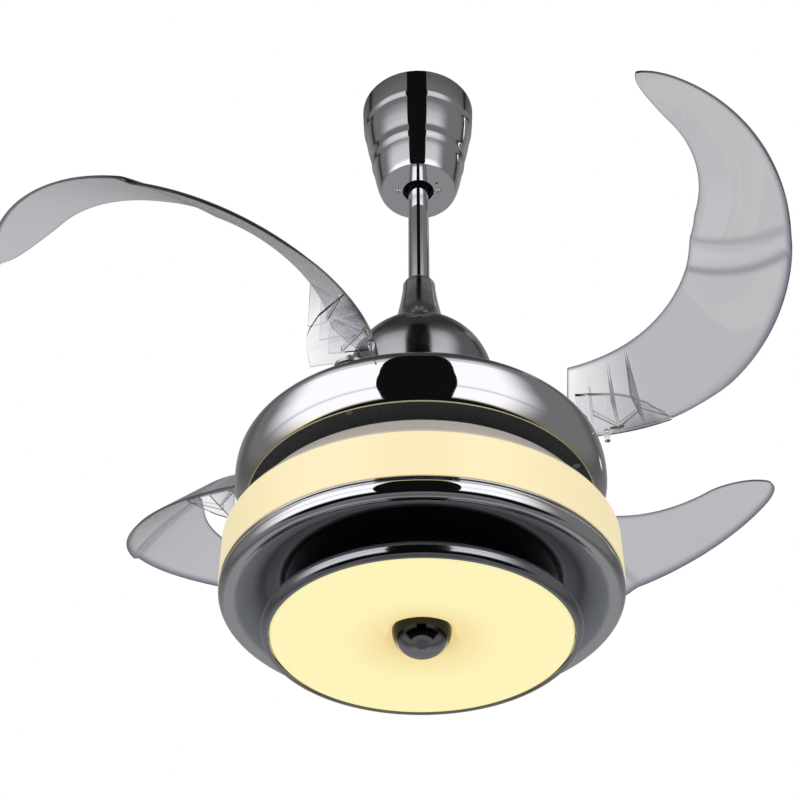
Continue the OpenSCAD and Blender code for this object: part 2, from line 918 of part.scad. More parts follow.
// Outline of a quarter of the ring gear: teeth about the pivot's azimuth, then a plain stretch
function ring_quarter(azimuth) = concat(
    [for (i = [ring_t0:ring_t1]) each tooth(ring_pitch_r, azimuth + i * ring_step)],
    arc(
        [0, 0], ring_pitch_r - ded,
        azimuth + (ring_t1 + 1) * ring_step, azimuth + quarter + (ring_t0 - 1) * ring_step, 12
    )
);

// Ring gear that all four hubs mesh with, so the blades open together
module sync_ring() {
    color(white)
        translate([0, 0, up(gear_z) + 0.5])
            linear_extrude(gear_t - 1)
                difference() {
                    polygon([for (k = [0:blade_count - 1]) each ring_quarter(pivot_az + quarter * k)]);
                    circle(r = ring_inner_r);
                }
}

// ---------- blades, drawn folded and then turned out ----------

hub_step = 360 / hub_teeth;
// The hub's tooth gaps face the ring's teeth in the open position
open_in = 180 - fold;
hub_t1 = floor((fold + sector_margin) / hub_step);

module at_screws() {
    for (i = [0:2])
        translate([pivot_r, 0, 0])
            rotate([0, 0, 120 * i + 30])
                translate([screw_pcd_r, 0, 0])
                    children();
}

// Hub with a flange under the blade and a toothed sector in the drum
module hub_body() {
    color(steel)
        difference() {
            union() {
                translate([pivot_r, 0, up(gear_z)]) {
                    cylinder(h = hub_top - gear_z, r = hub_r);
                    rotate([0, 0, open_in])
                        linear_extrude(gear_t)
                            polygon(concat(
                                [[0, 0]],
                                [for (i = [-1:hub_t1]) each tooth(hub_pitch_r, (i + 0.5) * hub_step)]
                            ));
                }
                translate([pivot_r, 0, up(hub_top) - hub_flange_t])
                    cylinder(h = hub_flange_t, r = screw_pcd_r + 4);
            }
            translate([pivot_r, 0, up(gear_z) - 1])
                cylinder(h = 100, r = post_r + bush_wall + seated);
            at_screws()
                translate([0, 0, up(hub_top) - hub_flange_t - 1])
                    cylinder(h = 20, r = screw_r + seated);
        }
}

module hub_bush() {
    color(brass)
        translate([pivot_r, 0, 0])
            ring(post_r + bush_wall, post_r + running, up(gear_z) + 0.5, up(hub_top) - 0.5);
}

module screws() {
    color(brass)
        at_screws() {
            translate([0, 0, up(hub_top) - hub_flange_t + 0.2])
                cylinder(h = hub_flange_t + flange_t, r = screw_r);
            translate([0, 0, up(hub_top) + flange_t + 0.05])
                cylinder(h = 2, r = 3.6);
        }
}

// Angles along a blade, measured clockwise from its pivot
root_end = 80;       // the narrower root reaches the full width here
taper_start = 93;    // the width starts to taper here
tip_turn = 22;       // the inner edge turns to the tip over this angle
nose_turn = 10;      // and the outer edge over this one
climb_start = 22;    // the outer edge leaves the root's level here
climb_arc = 143;     // and climbs over this angle
inner_climb_power = 3; // the inner edge climbs late, by this power of a sine
joggle_at = 65;      // the step starts here at the inner edge
joggle_slant = 30;   // this much later at the outer edge
joggle_arc = 15;     // it climbs over this angle at the inner edge
joggle_tighter = 9;  // and over this much less at the outer edge
// Widths
root_narrow = 37;    // how much narrower the blade is at the root
nose_w = 8;          // how far the tip lies inside the outer edge

// Radius of the inner edge at angle a
function inner_r(a) =
    a < root_end ? blade_in_r + root_narrow * (1 - a / root_end)
    : a < taper_start ? blade_in_r
    : let (
        r0 = blade_in_r + 0.34 * pow(a - taper_start, 1.1),
        t = max(0, min(1, (a - blade_arc) / tip_turn + 1))
    ) r0 + (blade_outer_r - nose_w - r0) * (1 - sqrt(1 - t * t));
// Radius of the outer edge at angle a
function outer_r(a) = let (t = max(0, min(1, (a - blade_arc) / nose_turn + 1)))
    blade_outer_r - nose_w * (1 - sqrt(1 - t * t));
// Height of the two edges over the root, without the step
function outer_z(a) = let (t = max(0, min(1, (a - climb_start) / climb_arc)))
    outer_climb * (1 - cos(180 * t)) / 2;
function inner_z(a) = let (t = max(0, min(1, a / blade_arc)))
    root_rise + inner_climb * pow(sin(90 * t), inner_climb_power);
function smooth(t) = let (u = max(0, min(1, t))) u * u * (3 - 2 * u);
// Height of the blade's middle surface at radius r and angle a
function blade_z(r, a) = let (v = (r - blade_in_r) / blade_w)
    inner_z(a) + (outer_z(a) - inner_z(a)) * v
    + joggle_h * smooth((a - joggle_at - joggle_slant * v) / (joggle_arc - joggle_tighter * v));

// The curved sheet: n steps along the blade and m across it
module blade_sheet() {
    n = 56;
    m = 5;
    a0 = -1;
    a1 = blade_arc - 0.5;
    z0 = up(blade_root_z);
    grid = [for (i = [0:n], j = [0:m]) let (
        a = a0 + (a1 - a0) * i / n,
        r = inner_r(a) + (outer_r(a) - inner_r(a)) * j / m
    ) concat(pol(r, -a), [z0 + blade_z(r, a)])];
    size = len(grid);
    pts = concat(
        [for (p = grid) p + [0, 0, blade_t / 2]],
        [for (p = grid) p - [0, 0, blade_t / 2]]
    );
    function t(i, j) = i * (m + 1) + j;
    function b(i, j) = size + t(i, j);
    function quad(p, q, r, s) = [[p, q, r], [p, r, s]];
    faces = concat(
        [for (i = [0:n - 1], j = [0:m - 1])
            each quad(t(i, j), t(i, j + 1), t(i + 1, j + 1), t(i + 1, j))],
        [for (i = [0:n - 1], j = [0:m - 1])
            each quad(b(i, j), b(i + 1, j), b(i + 1, j + 1), b(i, j + 1))],
        [for (i = [0:n - 1]) each quad(t(i, 0), t(i + 1, 0), b(i + 1, 0), b(i, 0))],
        [for (i = [0:n - 1]) each quad(t(i + 1, m), t(i, m), b(i, m), b(i + 1, m))],
        [for (j = [0:m - 1]) each quad(t(0, j + 1), t(0, j), b(0, j), b(0, j + 1))],
        [for (j = [0:m - 1]) each quad(t(n, j), t(n, j + 1), b(n, j + 1), b(n, j))]
    );
    polyhedron(points = pts, faces = faces);
}

// Flat flange under the root, which the hub's screws hold
flange_end = 31;
post_hole_r = post_r + 3.5;
// The flange's inner outline: an angle, and the distance outside the full-width inner edge
flange_line = [[0, 16], [10, 17], [20, 26], [27, 49]];

module root_flange() {
    difference() {
        translate([0, 0, up(hub_top)])
            linear_extrude(flange_t)
                union() {
                    translate([pivot_r, 0])
                        circle(r = screw_pcd_r + 6);
                    polygon(concat(
                        [for (p = flange_line) pol(blade_in_r + p[1], -p[0])],
                        arc([0, 0], blade_outer_r - 0.5, -flange_end, -4, 8)
                    ));
                }
        translate([pivot_r, 0, up(hub_top) - 1])
            cylinder(h = 20, r = post_hole_r);
        at_screws()
            translate([0, 0, up(hub_top) - 1])
                cylinder(h = 20, r = screw_r + screw_room);
    }
}

// Moulded boss on the flange's outer edge, which hangs just outside the drum
module root_boss() {
    boss_r = 3.2;
    drop = 10;
    translate(concat(pol(blade_outer_r - boss_r, -11), [up(hub_top) - drop]))
        cylinder(h = drop + flange_t + 4, r = boss_r);
}

// Upright webs between the flange and the sheet
module root_webs() {
    web_t = 2;
    for (a = [7, 15, 23])
        rotate([0, 0, -a])
            translate([0, web_t / 2, up(hub_top) + flange_t - 0.2])
                rotate([90, 0, 0])
                    linear_extrude(web_t)
                        polygon([
                            [inner_r(a) + 4, 0], [blade_outer_r - 6, 0],
                            [inner_r(a) + 4, blade_z(inner_r(a) + 4, a) - flange_t / 2]
                        ]);
}

module blade() {
    color(smoke)
        union() {
            blade_sheet();
            root_flange();
            root_boss();
            difference() {
                root_webs();
                translate([pivot_r, 0, up(hub_top) - 1])
                    cylinder(h = 30, r = screw_pcd_r + 6);
            }
        }
}

module blade_1() { opened(1) blade(); }
module blade_2() { opened(2) blade(); }
module blade_3() { opened(3) blade(); }
module blade_4() { opened(4) blade(); }
module blade_hub_1() { opened(1) hub_body(); }
module blade_hub_2() { opened(2) hub_body(); }
module blade_hub_3() { opened(3) hub_body(); }
module blade_hub_4() { opened(4) hub_body(); }
module hub_bush_1() { opened(1) hub_bush(); }
module hub_bush_2() { opened(2) hub_bush(); }
module hub_bush_3() { opened(3) hub_bush(); }
module hub_bush_4() { opened(4) hub_bush(); }
module blade_screws_1() { opened(1) screws(); }
module blade_screws_2() { opened(2) screws(); }
module blade_screws_3() { opened(3) screws(); }
module blade_screws_4() { opened(4) screws(); }

hanger_bracket();
ball_seat();
canopy();
canopy_screws();
receiver_box();
terminal_block();
hanger_ball();
ball_pin();
downrod();
yoke();
yoke_bolt();
yoke_cover();
motor_shaft();
stator_core();
stator_winding();
lamp_hanger_nut();
lamp_pan();
side_diffuser();
lamp_ring();
bezel();
bottom_diffuser();
finial();
finial_stud();
led_carrier();
bottom_led_board();
side_led_board();
led_driver();
lamp_standoffs();
rotor_top();
rotor_bottom();
rotor_magnets();
upper_bearing();
lower_bearing();
motor_dome();
drum_shell();
blade_tray();
tray_screws();
pivot_posts();
post_clips();
return_springs();
blade_stops();
ring_keepers();
sync_ring();
blade_1();
blade_2();
blade_3();
blade_4();
blade_hub_1();
blade_hub_2();
blade_hub_3();
blade_hub_4();
hub_bush_1();
hub_bush_2();
hub_bush_3();
hub_bush_4();
blade_screws_1();
blade_screws_2();
blade_screws_3();
blade_screws_4();
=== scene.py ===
import json
import math

import bmesh
import bpy
from mathutils import Matrix, Vector


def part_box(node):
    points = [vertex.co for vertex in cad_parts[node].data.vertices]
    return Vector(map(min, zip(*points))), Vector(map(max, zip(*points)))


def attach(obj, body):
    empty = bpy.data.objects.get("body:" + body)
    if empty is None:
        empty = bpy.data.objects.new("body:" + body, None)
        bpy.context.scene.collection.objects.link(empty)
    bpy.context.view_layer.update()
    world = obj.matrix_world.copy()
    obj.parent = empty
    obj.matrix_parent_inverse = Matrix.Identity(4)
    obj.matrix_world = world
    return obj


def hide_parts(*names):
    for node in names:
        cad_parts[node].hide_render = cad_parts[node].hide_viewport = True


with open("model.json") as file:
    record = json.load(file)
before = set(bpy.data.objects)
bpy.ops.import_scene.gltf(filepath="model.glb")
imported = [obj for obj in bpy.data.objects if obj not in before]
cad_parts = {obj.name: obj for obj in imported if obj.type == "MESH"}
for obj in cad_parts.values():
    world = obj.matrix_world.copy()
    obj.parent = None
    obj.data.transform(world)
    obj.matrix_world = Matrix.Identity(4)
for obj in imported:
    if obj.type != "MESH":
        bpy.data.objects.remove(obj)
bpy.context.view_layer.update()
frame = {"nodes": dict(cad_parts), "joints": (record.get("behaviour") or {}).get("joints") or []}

# ---------------------------------------------------------------------------
# Camera. It stands in front of the fan and below it, and looks up at the lamp,
# as the photograph does.
camera_place = (0.0, -1.3195, -1.6018)
camera_pitch = math.radians(39.3825)
camera_yaw = math.radians(-1.0234)
camera_roll = math.radians(0.1843)


def placed(name, data):
    """A new object in the scene."""
    made = bpy.data.objects.new(name, data)
    bpy.context.collection.objects.link(made)
    return made


camera = placed("camera", bpy.data.cameras.new("camera"))
camera.data.lens = 65.25
camera.data.sensor_width = 36.0
camera.matrix_world = (
    Matrix.Translation(camera_place)
    @ Matrix.Rotation(-camera_yaw, 4, "Z")
    @ Matrix.Rotation(math.pi / 2 + camera_pitch, 4, "X")
    @ Matrix.Rotation(camera_roll, 4, "Z")
)
bpy.context.scene.camera = camera
bpy.context.scene.view_settings.view_transform = "Standard"

# ---------------------------------------------------------------------------
# Studio. A white surround, a pale floor, soft lamps, and close round the fan the
# grey cloths, the black card in front and the two soft boxes that chrome reflects.
floor_z = -2.4
floor_half = 9.0
studio_r = 0.62
studio_low = floor_z + 0.02
studio_top = 1.0
studio_rise = 0.04
card_span = (-20, 17)
card_light = 0.005
left_box = (57, 88)
right_box = (38, 66)
box_foot = (-1.10, -1.00)
box_head = (0.12, 0.42)
box_light = 1.08
box_dim_rise = (-0.07, 0.01)
box_dim = 0.5
seam_z = -0.73
seam_half = 0.045
seam_dip = 0.5
pit_sides = (66, 82)
pit_foot = (-1.66, -1.58)
pit_head = (-1.10, -1.02)
cloth_light = 0.165
dusk_rise = (0.42, 0.70)
dusk_dip = 0.5
back_sides = (118, 140)
back_lift = 0.09
fold_at = 108
fold_half = 14
fold_dip = 0.06
high_fold_half = 7
high_fold_rise = (0, 0.10)
high_fold_dip = 0.08
window_span = (111, 115)
window_levels = ((-0.50, -0.45), (0.36, 0.56))
ground_light = 0.12
lid_light = 0.05
blue_lift = 1.02
ambient_light = 0.55

world = bpy.data.worlds.new("studio")
bpy.context.scene.world = world
world.use_nodes = True
sky = world.node_tree
sky.nodes.clear()
rays = sky.nodes.new("ShaderNodeLightPath").outputs
seen = rays["Is Camera Ray"]
for kind in ("Is Glossy Ray", "Is Transmission Ray"):
    either = sky.nodes.new("ShaderNodeMath")
    either.operation = "MAXIMUM"
    sky.links.new(seen, either.inputs[0])
    sky.links.new(rays[kind], either.inputs[1])
    seen = either.outputs[0]
backdrop = sky.nodes.new("ShaderNodeMixShader")
sky.links.new(seen, backdrop.inputs[0])
for socket, strength in ((1, ambient_light), (2, 1.0)):
    white = sky.nodes.new("ShaderNodeBackground")
    white.inputs["Color"].default_value = (1, 1, 1, 1)
    white.inputs["Strength"].default_value = strength
    sky.links.new(white.outputs[0], backdrop.inputs[socket])
sky.links.new(backdrop.outputs[0], sky.nodes.new("ShaderNodeOutputWorld").inputs["Surface"])


def held(x):
    """A number, kept from 0 to 1."""
    return max(0.0, min(1.0, x))


def ease(x):
    """Goes smoothly from 0 to 1 while x does."""
    x = held(x)
    return x * x * (3 - 2 * x)


def over(span, x):
    """Goes smoothly from 0 to 1 while x goes from a span's start to its end."""
    return ease((x - span[0]) / (span[1] - span[0]))


def bump(x):
    """A soft hump that is 1 at 0 and ends at -1 and 1."""
    return max(0.0, 1 - x * x) ** 2


def wall_light(azimuth, z):
    """Brightness of the studio's round wall. Azimuth 0 is the camera's side, 90 is +X."""
    side = abs(azimuth)
    if card_span[0] < azimuth < card_span[1] and z > pit_foot[1]:
        return card_light
    if window_span[0] < azimuth < window_span[1] and any(low < z < high for low, high in window_levels):
        return 1.0
    cloth = cloth_light - fold_dip * bump((side - fold_at) / fold_half) + back_lift * over(back_sides, side)
    cloth -= high_fold_dip * bump((side - fold_at) / high_fold_half) * over(high_fold_rise, z)
    cloth *= 1 - dusk_dip * over(dusk_rise, z)
    box = 1 - over(left_box if azimuth < 0 else right_box, side)
    box *= over(box_foot, z) * (1 - over(box_head, z))
    box *= 1 - box_dim * over(box_dim_rise, z)
    box *= 1 - seam_dip * bump((z - seam_z) / seam_half)
    light = cloth + (box_light - cloth) * box
    pit = (1 - over(pit_sides, side)) * over(pit_foot, z) * (1 - over(pit_head, z))
    return light + (card_light - light) * pit


def written(made, name, kind="Fac"):
    """What a piece's mesh holds at each point under a name."""
    layer = made.node_tree.nodes.new("ShaderNodeAttribute")
    layer.attribute_name = name
    return layer.outputs[kind]


def studio_surround():
    """Round wall with a lid and a ground cloth, lit as wall_light says. Only reflections see it."""
    tuck = 0.02
    corners = ((tuck, 0), (1 - tuck, 0), (1 - tuck, 1), (tuck, 1))
    levels = [studio_low + studio_rise * i for i in range(round((studio_top - studio_low) / studio_rise) + 1)]
    turns = [math.radians(i) for i in range(360)]
    work = bmesh.new()
    shade = work.loops.layers.float_color.new("light")
    rows = [
        [work.verts.new((studio_r * math.sin(turn), -studio_r * math.cos(turn), z)) for turn in turns]
        for z in levels]
    for low, high, z in zip(rows, rows[1:], levels):
        for i in range(360):
            j = (i + 1) % 360
            face = work.faces.new((low[i], low[j], high[j], high[i]))
            for loop, (across, up) in zip(face.loops, corners):
                azimuth = i + across
                azimuth -= 360 * (azimuth > 180)
                value = wall_light(azimuth, z + studio_rise * up)
                loop[shade] = (value, value, value * blue_lift, 1)
    for row, value in ((rows[0], ground_light), (rows[-1], lid_light)):
        face = work.faces.new(row)
        for loop in face.loops:
            loop[shade] = (value, value, value, 1)
    mesh = bpy.data.meshes.new("studio_surround")
    work.to_mesh(mesh)
    work.free()
    surround = placed("studio_surround", mesh)
    for kind in ("camera", "diffuse", "transmission", "volume_scatter", "shadow"):
        setattr(surround, f"visible_{kind}", False)
    lit = bpy.data.materials.new("studio_light")
    lit.use_nodes = True
    nodes, links = lit.node_tree.nodes, lit.node_tree.links
    nodes.clear()
    glow = nodes.new("ShaderNodeEmission")
    links.new(written(lit, "light", "Color"), glow.inputs["Color"])
    links.new(glow.outputs[0], nodes.new("ShaderNodeOutputMaterial").inputs["Surface"])
    mesh.materials.append(lit)
    lit.cycles.emission_sampling = "NONE"


studio_surround()

floor_mesh = bpy.data.meshes.new("floor")
floor_corners = [(floor_half * x, floor_half * y, floor_z) for x, y in ((-1, -1), (1, -1), (1, 1), (-1, 1))]
floor_mesh.from_pydata(floor_corners, [], [(0, 1, 2, 3)])
floor = placed("floor", floor_mesh)
floor_paint = bpy.data.materials.new("pale_floor")
floor_paint.use_nodes = True
floor_shader = floor_paint.node_tree.nodes["Principled BSDF"]
floor_shader.inputs["Base Color"].default_value = (0.86, 0.86, 0.86, 1)
floor_shader.inputs["Roughness"].default_value = 0.9
floor_mesh.materials.append(floor_paint)

fan_middle = Vector((0, 0, -0.6))
for name, place, size, power in (
        ("left_lamp", (-1.7, -2.0, -0.3), 1.4, 26), ("right_lamp", (1.9, -1.6, -0.6), 1.4, 20),
        ("back_lamp", (0.4, 2.2, 0.2), 1.6, 16)):
    lamp = placed(name, bpy.data.lights.new(name, "AREA"))
    lamp.data.size = size
    lamp.data.energy = power
    lamp.location = place
    lamp.rotation_euler = (fan_middle - Vector(place)).to_track_quat("-Z", "Y").to_euler()
    lamp.visible_glossy = False
    lamp.visible_transmission = False

# ---------------------------------------------------------------------------
# Hanger bracket. A pressed steel strap, zinc plated, screwed to the ceiling with
# two bolts. The hanger ball's weight rests on its lower plate.
mm = 0.001


def principled(name, colour, roughness, metallic=0.0):
    """A new material, with the values that are the same all over it."""
    made = bpy.data.materials.new(name)
    made.use_nodes = True
    for socket, value in (("Base Color", (*colour, 1)), ("Roughness", roughness), ("Metallic", metallic)):
        shader_of(made).inputs[socket].default_value = value
    return made


def shader_of(made):
    """A material's shader."""
    return made.node_tree.nodes["Principled BSDF"]


def set_by(made, output, socket):
    """Lets a node's output set one of the shader's sockets."""
    made.node_tree.links.new(output, shader_of(made).inputs[socket])


def grain(made, size, stretch=(1, 1, 1), detail=3.0):
    """Noise over the piece's own place, size metres coarse, stretched along some axes."""
    nodes, links = made.node_tree.nodes, made.node_tree.links
    place = nodes.new("ShaderNodeTexCoord")
    scale = nodes.new("ShaderNodeMapping")
    scale.inputs["Scale"].default_value = [s / size for s in stretch]
    noise = nodes.new("ShaderNodeTexNoise")
    noise.inputs["Scale"].default_value = 1.0
    noise.inputs["Detail"].default_value = detail
    links.new(place.outputs["Object"], scale.inputs["Vector"])
    links.new(scale.outputs["Vector"], noise.inputs["Vector"])
    return noise.outputs["Fac"]


def between(made, amount, low, high, low_at=0.3, high_at=0.7):
    """A number that goes from low to high while the amount goes from low_at to high_at."""
    spread = made.node_tree.nodes.new("ShaderNodeMapRange")
    for socket, value in (("From Min", low_at), ("From Max", high_at), ("To Min", low), ("To Max", high)):
        spread.inputs[socket].default_value = value
    made.node_tree.links.new(amount, spread.inputs["Value"])
    return spread.outputs["Result"]


def two_tone(made, amount, one, other):
    """A colour that goes from one to the other as the amount goes from 0 to 1."""
    mix = made.node_tree.nodes.new("ShaderNodeMix")
    mix.data_type = "RGBA"
    mix.inputs["A"].default_value = (*one, 1)
    mix.inputs["B"].default_value = (*other, 1)
    made.node_tree.links.new(amount, mix.inputs["Factor"])
    return mix.outputs["Result"]


def roughen(made, amount, strength, depth):
    """Small relief, depth metres deep."""
    relief = made.node_tree.nodes.new("ShaderNodeBump")
    relief.inputs["Strength"].default_value = strength
    relief.inputs["Distance"].default_value = depth
    made.node_tree.links.new(amount, relief.inputs["Height"])
    set_by(made, relief.outputs["Normal"], "Normal")


def worked(name, tones, marks, metallic=0.0, dull=None, relief=None, relief_marks=None, roughness=0.4):
    """A finish with one or two tones. Its colour, dullness and relief follow its marks, or the
    relief follows marks of its own."""
    made = principled(name, tones[-1], roughness, metallic)
    amount = grain(made, **marks)
    if len(tones) == 2:
        set_by(made, two_tone(made, amount, *tones), "Base Color")
    if dull:
        set_by(made, between(made, amount, *dull), "Roughness")
    if relief:
        roughen(made, grain(made, **relief_marks) if relief_marks else amount, *relief)
    return made


def finish_nodes(material, *names):
    """Gives CAD nodes that stay as they are their material."""
    for name in names:
        data = frame["nodes"][name].data
        data.materials.clear()
        data.materials.append(material)


zinc = worked(
    "zinc_plate", ((0.60, 0.61, 0.62), (0.72, 0.72, 0.71)), dict(size=0.012, detail=2.0), metallic=1.0,
    dull=(0.24, 0.42), relief=(0.25, 0.0001), relief_marks=dict(size=0.0012))
finish_nodes(zinc, "hanger_bracket")

# ---------------------------------------------------------------------------
# Ball seat and hanger ball. Black moulded nylon: the ball is pinned to the top of
# the downrod and rolls in the cup, so that the fan hangs plumb.


def moulded(name, dark, light, roughness):
    """Moulded plastic: two near colours in a fine grain, and a little orange peel."""
    return worked(
        name, (dark, light), dict(size=0.004), dull=(roughness - 0.06, roughness + 0.08),
        relief=(0.18, 0.0001), relief_marks=dict(size=0.0016))


nylon = moulded("black_nylon", (0.030, 0.030, 0.033), (0.055, 0.055, 0.060), 0.48)
finish_nodes(nylon, "ball_seat", "hanger_ball")
finish_nodes(zinc, "ball_pin")

# ---------------------------------------------------------------------------
# Receiver and terminal block. The remote control's receiver is a white moulded
# case between the bracket's arms, and the supply wires end in the blue block.
white_case = moulded("white_moulding", (0.80, 0.80, 0.78), (0.88, 0.88, 0.86), 0.42)
finish_nodes(white_case, "receiver_box")
blue_block = moulded("blue_moulding", (0.08, 0.22, 0.48), (0.12, 0.30, 0.60), 0.40)
finish_nodes(blue_block, "terminal_block")

# ---------------------------------------------------------------------------
# Canopy. Spun steel with a mirror chrome finish: a cup with two stepped bulges
# and a flat bottom, which slides up the rod and is screwed to the bracket.
mirror = (0.90, 0.90, 0.93)
long_waves = dict(size=0.07, stretch=(1, 1, 2.5), detail=1.0)


def bright_chrome(name, tint):
    """Mirror chrome: a faint haze, shallow waves, and, where a piece has a marked rim, the tint as a painted
    reflection.
    """
    made = worked(
        name, (mirror,), dict(size=0.05, detail=4.0), metallic=1.0, dull=(0.018, 0.055),
        relief=(0.05, 0.002), relief_marks=long_waves)
    set_by(made, two_tone(made, written(made, "rim"), mirror, tint), "Base Color")
    return made


def curve_through(points, steps=7):
    """Smooth line through points, each stretch cut into steps."""
    points = [Vector(p) for p in points]
    ends = [points[0] * 2 - points[1]] + points + [points[-1] * 2 - points[-2]]
    line = []
    for a, b, c, d in zip(ends, ends[1:], ends[2:], ends[3:]):
        chord = (c - b).length
        leave = (c - a) * (chord / max((c - a).length, 1e-9))
        arrive = (d - b) * (chord / max((d - b).length, 1e-9))
        for i in range(steps):
            t = i / steps
            line.append(
                b * (2 * t**3 - 3 * t**2 + 1) + leave * (t**3 - 2 * t**2 + t)
                + c * (3 * t**2 - 2 * t**3) + arrive * (t**3 - t**2))
    line.append(points[-1])
    return line


def arc(centre, radius, start, end, steps=12):
    """Points of an arc, in degrees."""
    turns = [math.radians(start + (end - start) * i / steps) for i in range(steps + 1)]
    return [Vector((centre[0] + radius * math.cos(t), centre[1] + radius * math.sin(t))) for t in turns]


def sheet_outline(line, wall):
    """Closed outline of sheet metal whose outside follows the line, with the metal to its left."""
    line = [Vector(p) for p in line]
    inside = []
    for i, point in enumerate(line):
        way = line[min(i + 1, len(line) - 1)] - line[max(i - 1, 0)]
        way.normalize()
        inside.append(point + wall * Vector((-way.y, way.x)))
    rims = []
    for out, inner, other in ((line[-1], inside[-1], line[-2]), (line[0], inside[0], line[1])):
        swell = (out - other).normalized() * (wall * 0.35)
        rims.append((out + inner) / 2 + swell)
    return line + [rims[0]] + inside[::-1] + [rims[1]]


def lathe(name, outline, steps=256, sharp=34):
    """Turns a closed outline of (radius, height) round the Z axis into a piece."""
    work = bmesh.new()
    turns = [2 * math.pi * i / steps for i in range(steps)]
    rows = [[work.verts.new((r * math.cos(t), r * math.sin(t), z)) for t in turns] for r, z in outline]
    for here, there in zip(rows, rows[1:] + rows[:1]):
        for i in range(steps):
            j = (i + 1) % steps
            work.faces.new((here[i], here[j], there[j], there[i]))
    return finished(name, work, sharp)


def finished(name, work, sharp=34):
    """Closes a piece's mesh, shades it smooth apart from its sharp edges, and puts it in the scene."""
    bmesh.ops.remove_doubles(work, verts=work.verts, dist=1e-6)
    bmesh.ops.dissolve_degenerate(work, edges=work.edges, dist=1e-7)
    bmesh.ops.recalc_face_normals(work, faces=work.faces)
    mesh = bpy.data.meshes.new(name)
    work.to_mesh(mesh)
    work.free()
    mesh.shade_smooth()
    mesh.set_sharp_from_angle(angle=math.radians(sharp))
    return placed(name, mesh)


def fit(piece, body, slot, material, *nodes):
    """Gives a piece its material and its body, in place of the CAD nodes that it stands for."""
    piece.data.materials.clear()
    piece.data.materials.append(material)
    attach(piece, body)
    if nodes:
        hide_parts(*nodes)
    return piece


def carve(piece, cutters, operation="DIFFERENCE", sharp=34):
    """Cuts the cutters out of a piece, or joins them to it, and takes them away."""
    for cutter in cutters:
        change = piece.modifiers.new("carve", "BOOLEAN")
        change.operation = operation
        change.solver = "MANIFOLD"
        change.object = cutter
    shape = piece.evaluated_get(bpy.context.evaluated_depsgraph_get())
    mesh = bpy.data.meshes.new_from_object(shape)
    piece.modifiers.clear()
    old = piece.data
    piece.data = mesh
    bpy.data.meshes.remove(old)
    mesh.name = piece.name
    mesh.set_sharp_from_angle(angle=math.radians(sharp))
    for cutter in cutters:
        bpy.data.objects.remove(cutter)
    return piece


def peg(centre, radius, low, high, steps=40):
    """A plain round bar along Z, to cut with or to join on."""
    bar = lathe("peg", [(0, low), (radius, low), (radius, high), (0, high)], steps)
    bar.data.transform(Matrix.Translation((centre[0], centre[1], 0)))
    return bar


# The warm tint is a painted reflection of the lit side diffuser. It shows only where a piece marks its rim,
# which is the drum's lip.
chrome = bright_chrome("bright_chrome", (0.96, 0.90, 0.70))
canopy_low, canopy_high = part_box("canopy")
canopy_r = canopy_high.x
canopy_h = -canopy_low.z
canopy_bottom_r = 49.7 * mm
canopy_wall = 1.2 * mm
canopy_bend = 0.9 * mm
canopy_hole_r = 20.8 * mm
canopy_screw_hole_r = 2.3 * mm
canopy_screw_x = 26.5 * mm
canopy_pin_hole = (24.5 * mm, -15 * mm)
canopy_pin_hole_r = 1.6 * mm
taper = canopy_r - canopy_bottom_r
canopy_leans = (
    (0, 2), (0.235, 4), (0.26, 22), (0.275, 22), (0.30, 5), (0.40, 9), (0.50, 12), (0.57, 14), (0.615, 3),
    (0.66, 2), (0.69, 21), (0.71, 21), (0.74, 6), (0.83, 11), (0.92, 14), (0.97, 20), (1, 30))
canopy_parts = 150
canopy_start = 0.003


def lean_at(share):
    """Lean of the canopy's side from upright, in degrees, at a share of the way down."""
    for (above, lean), (below, next_lean) in zip(canopy_leans, canopy_leans[1:]):
        if share <= below:
            return lean + (next_lean - lean) * ease((share - above) / (below - above))
    return canopy_leans[-1][1]


drawn_in = [0.0]
for i in range(canopy_parts):
    drawn_in.append(drawn_in[-1] + math.tan(math.radians(lean_at((i + 0.5) / canopy_parts))))
canopy_side = [
    Vector((canopy_r - taper * inset / drawn_in[-1], -canopy_h * max(i / canopy_parts, canopy_start)))
    for i, inset in enumerate(drawn_in)][:-1]
canopy_corner = arc((canopy_bottom_r - canopy_bend, -canopy_h + canopy_bend), canopy_bend, -30, -90, 5)
canopy_line = canopy_side + canopy_corner + [Vector((canopy_hole_r, -canopy_h))]
canopy_piece = lathe("canopy_cup", sheet_outline(canopy_line[::-1], canopy_wall))
hole_from, hole_to = -canopy_h - 3 * mm, -canopy_h + 4 * mm
carve(canopy_piece, [
    peg((side * canopy_screw_x, 0), canopy_screw_hole_r, hole_from, hole_to) for side in (-1, 1)
] + [peg(canopy_pin_hole, canopy_pin_hole_r, hole_from, hole_to)])
fit(canopy_piece, "ceiling_mount", "chrome", chrome, "canopy")

# ---------------------------------------------------------------------------
# Canopy screws. Two chromed pan-head screws with a cross recess, through the
# canopy's bottom into the bracket.


def cross_screw(name, head_r, head_h, shank_r, length):
    """One screw, head down: the head's flat seat is at height 0 and the shank goes up from it."""
    crown = []
    for i in range(9):
        turn = math.radians(90 * i / 8)
        crown.append((head_r * math.cos(turn), -head_h * (0.35 + 0.65 * math.sin(turn))))
    shank = [(0, length), (shank_r * 0.7, length), (shank_r, length - shank_r * 0.5), (shank_r, 0)]
    piece = lathe(name, shank + [(head_r, 0)] + crown, 40)
    slots = []
    for turn in (0, 90):
        work = bmesh.new()
        bmesh.ops.create_cube(work, size=1)
        size = Matrix.Diagonal((head_r * 1.15, head_r * 0.26, head_h * 0.9, 1))
        spot = Matrix.Translation((0, 0, -head_h * 0.95))
        work.transform(spot @ Matrix.Rotation(math.radians(turn), 4, "Z") @ size)
        slots.append(finished("slot", work))
    return carve(piece, slots)


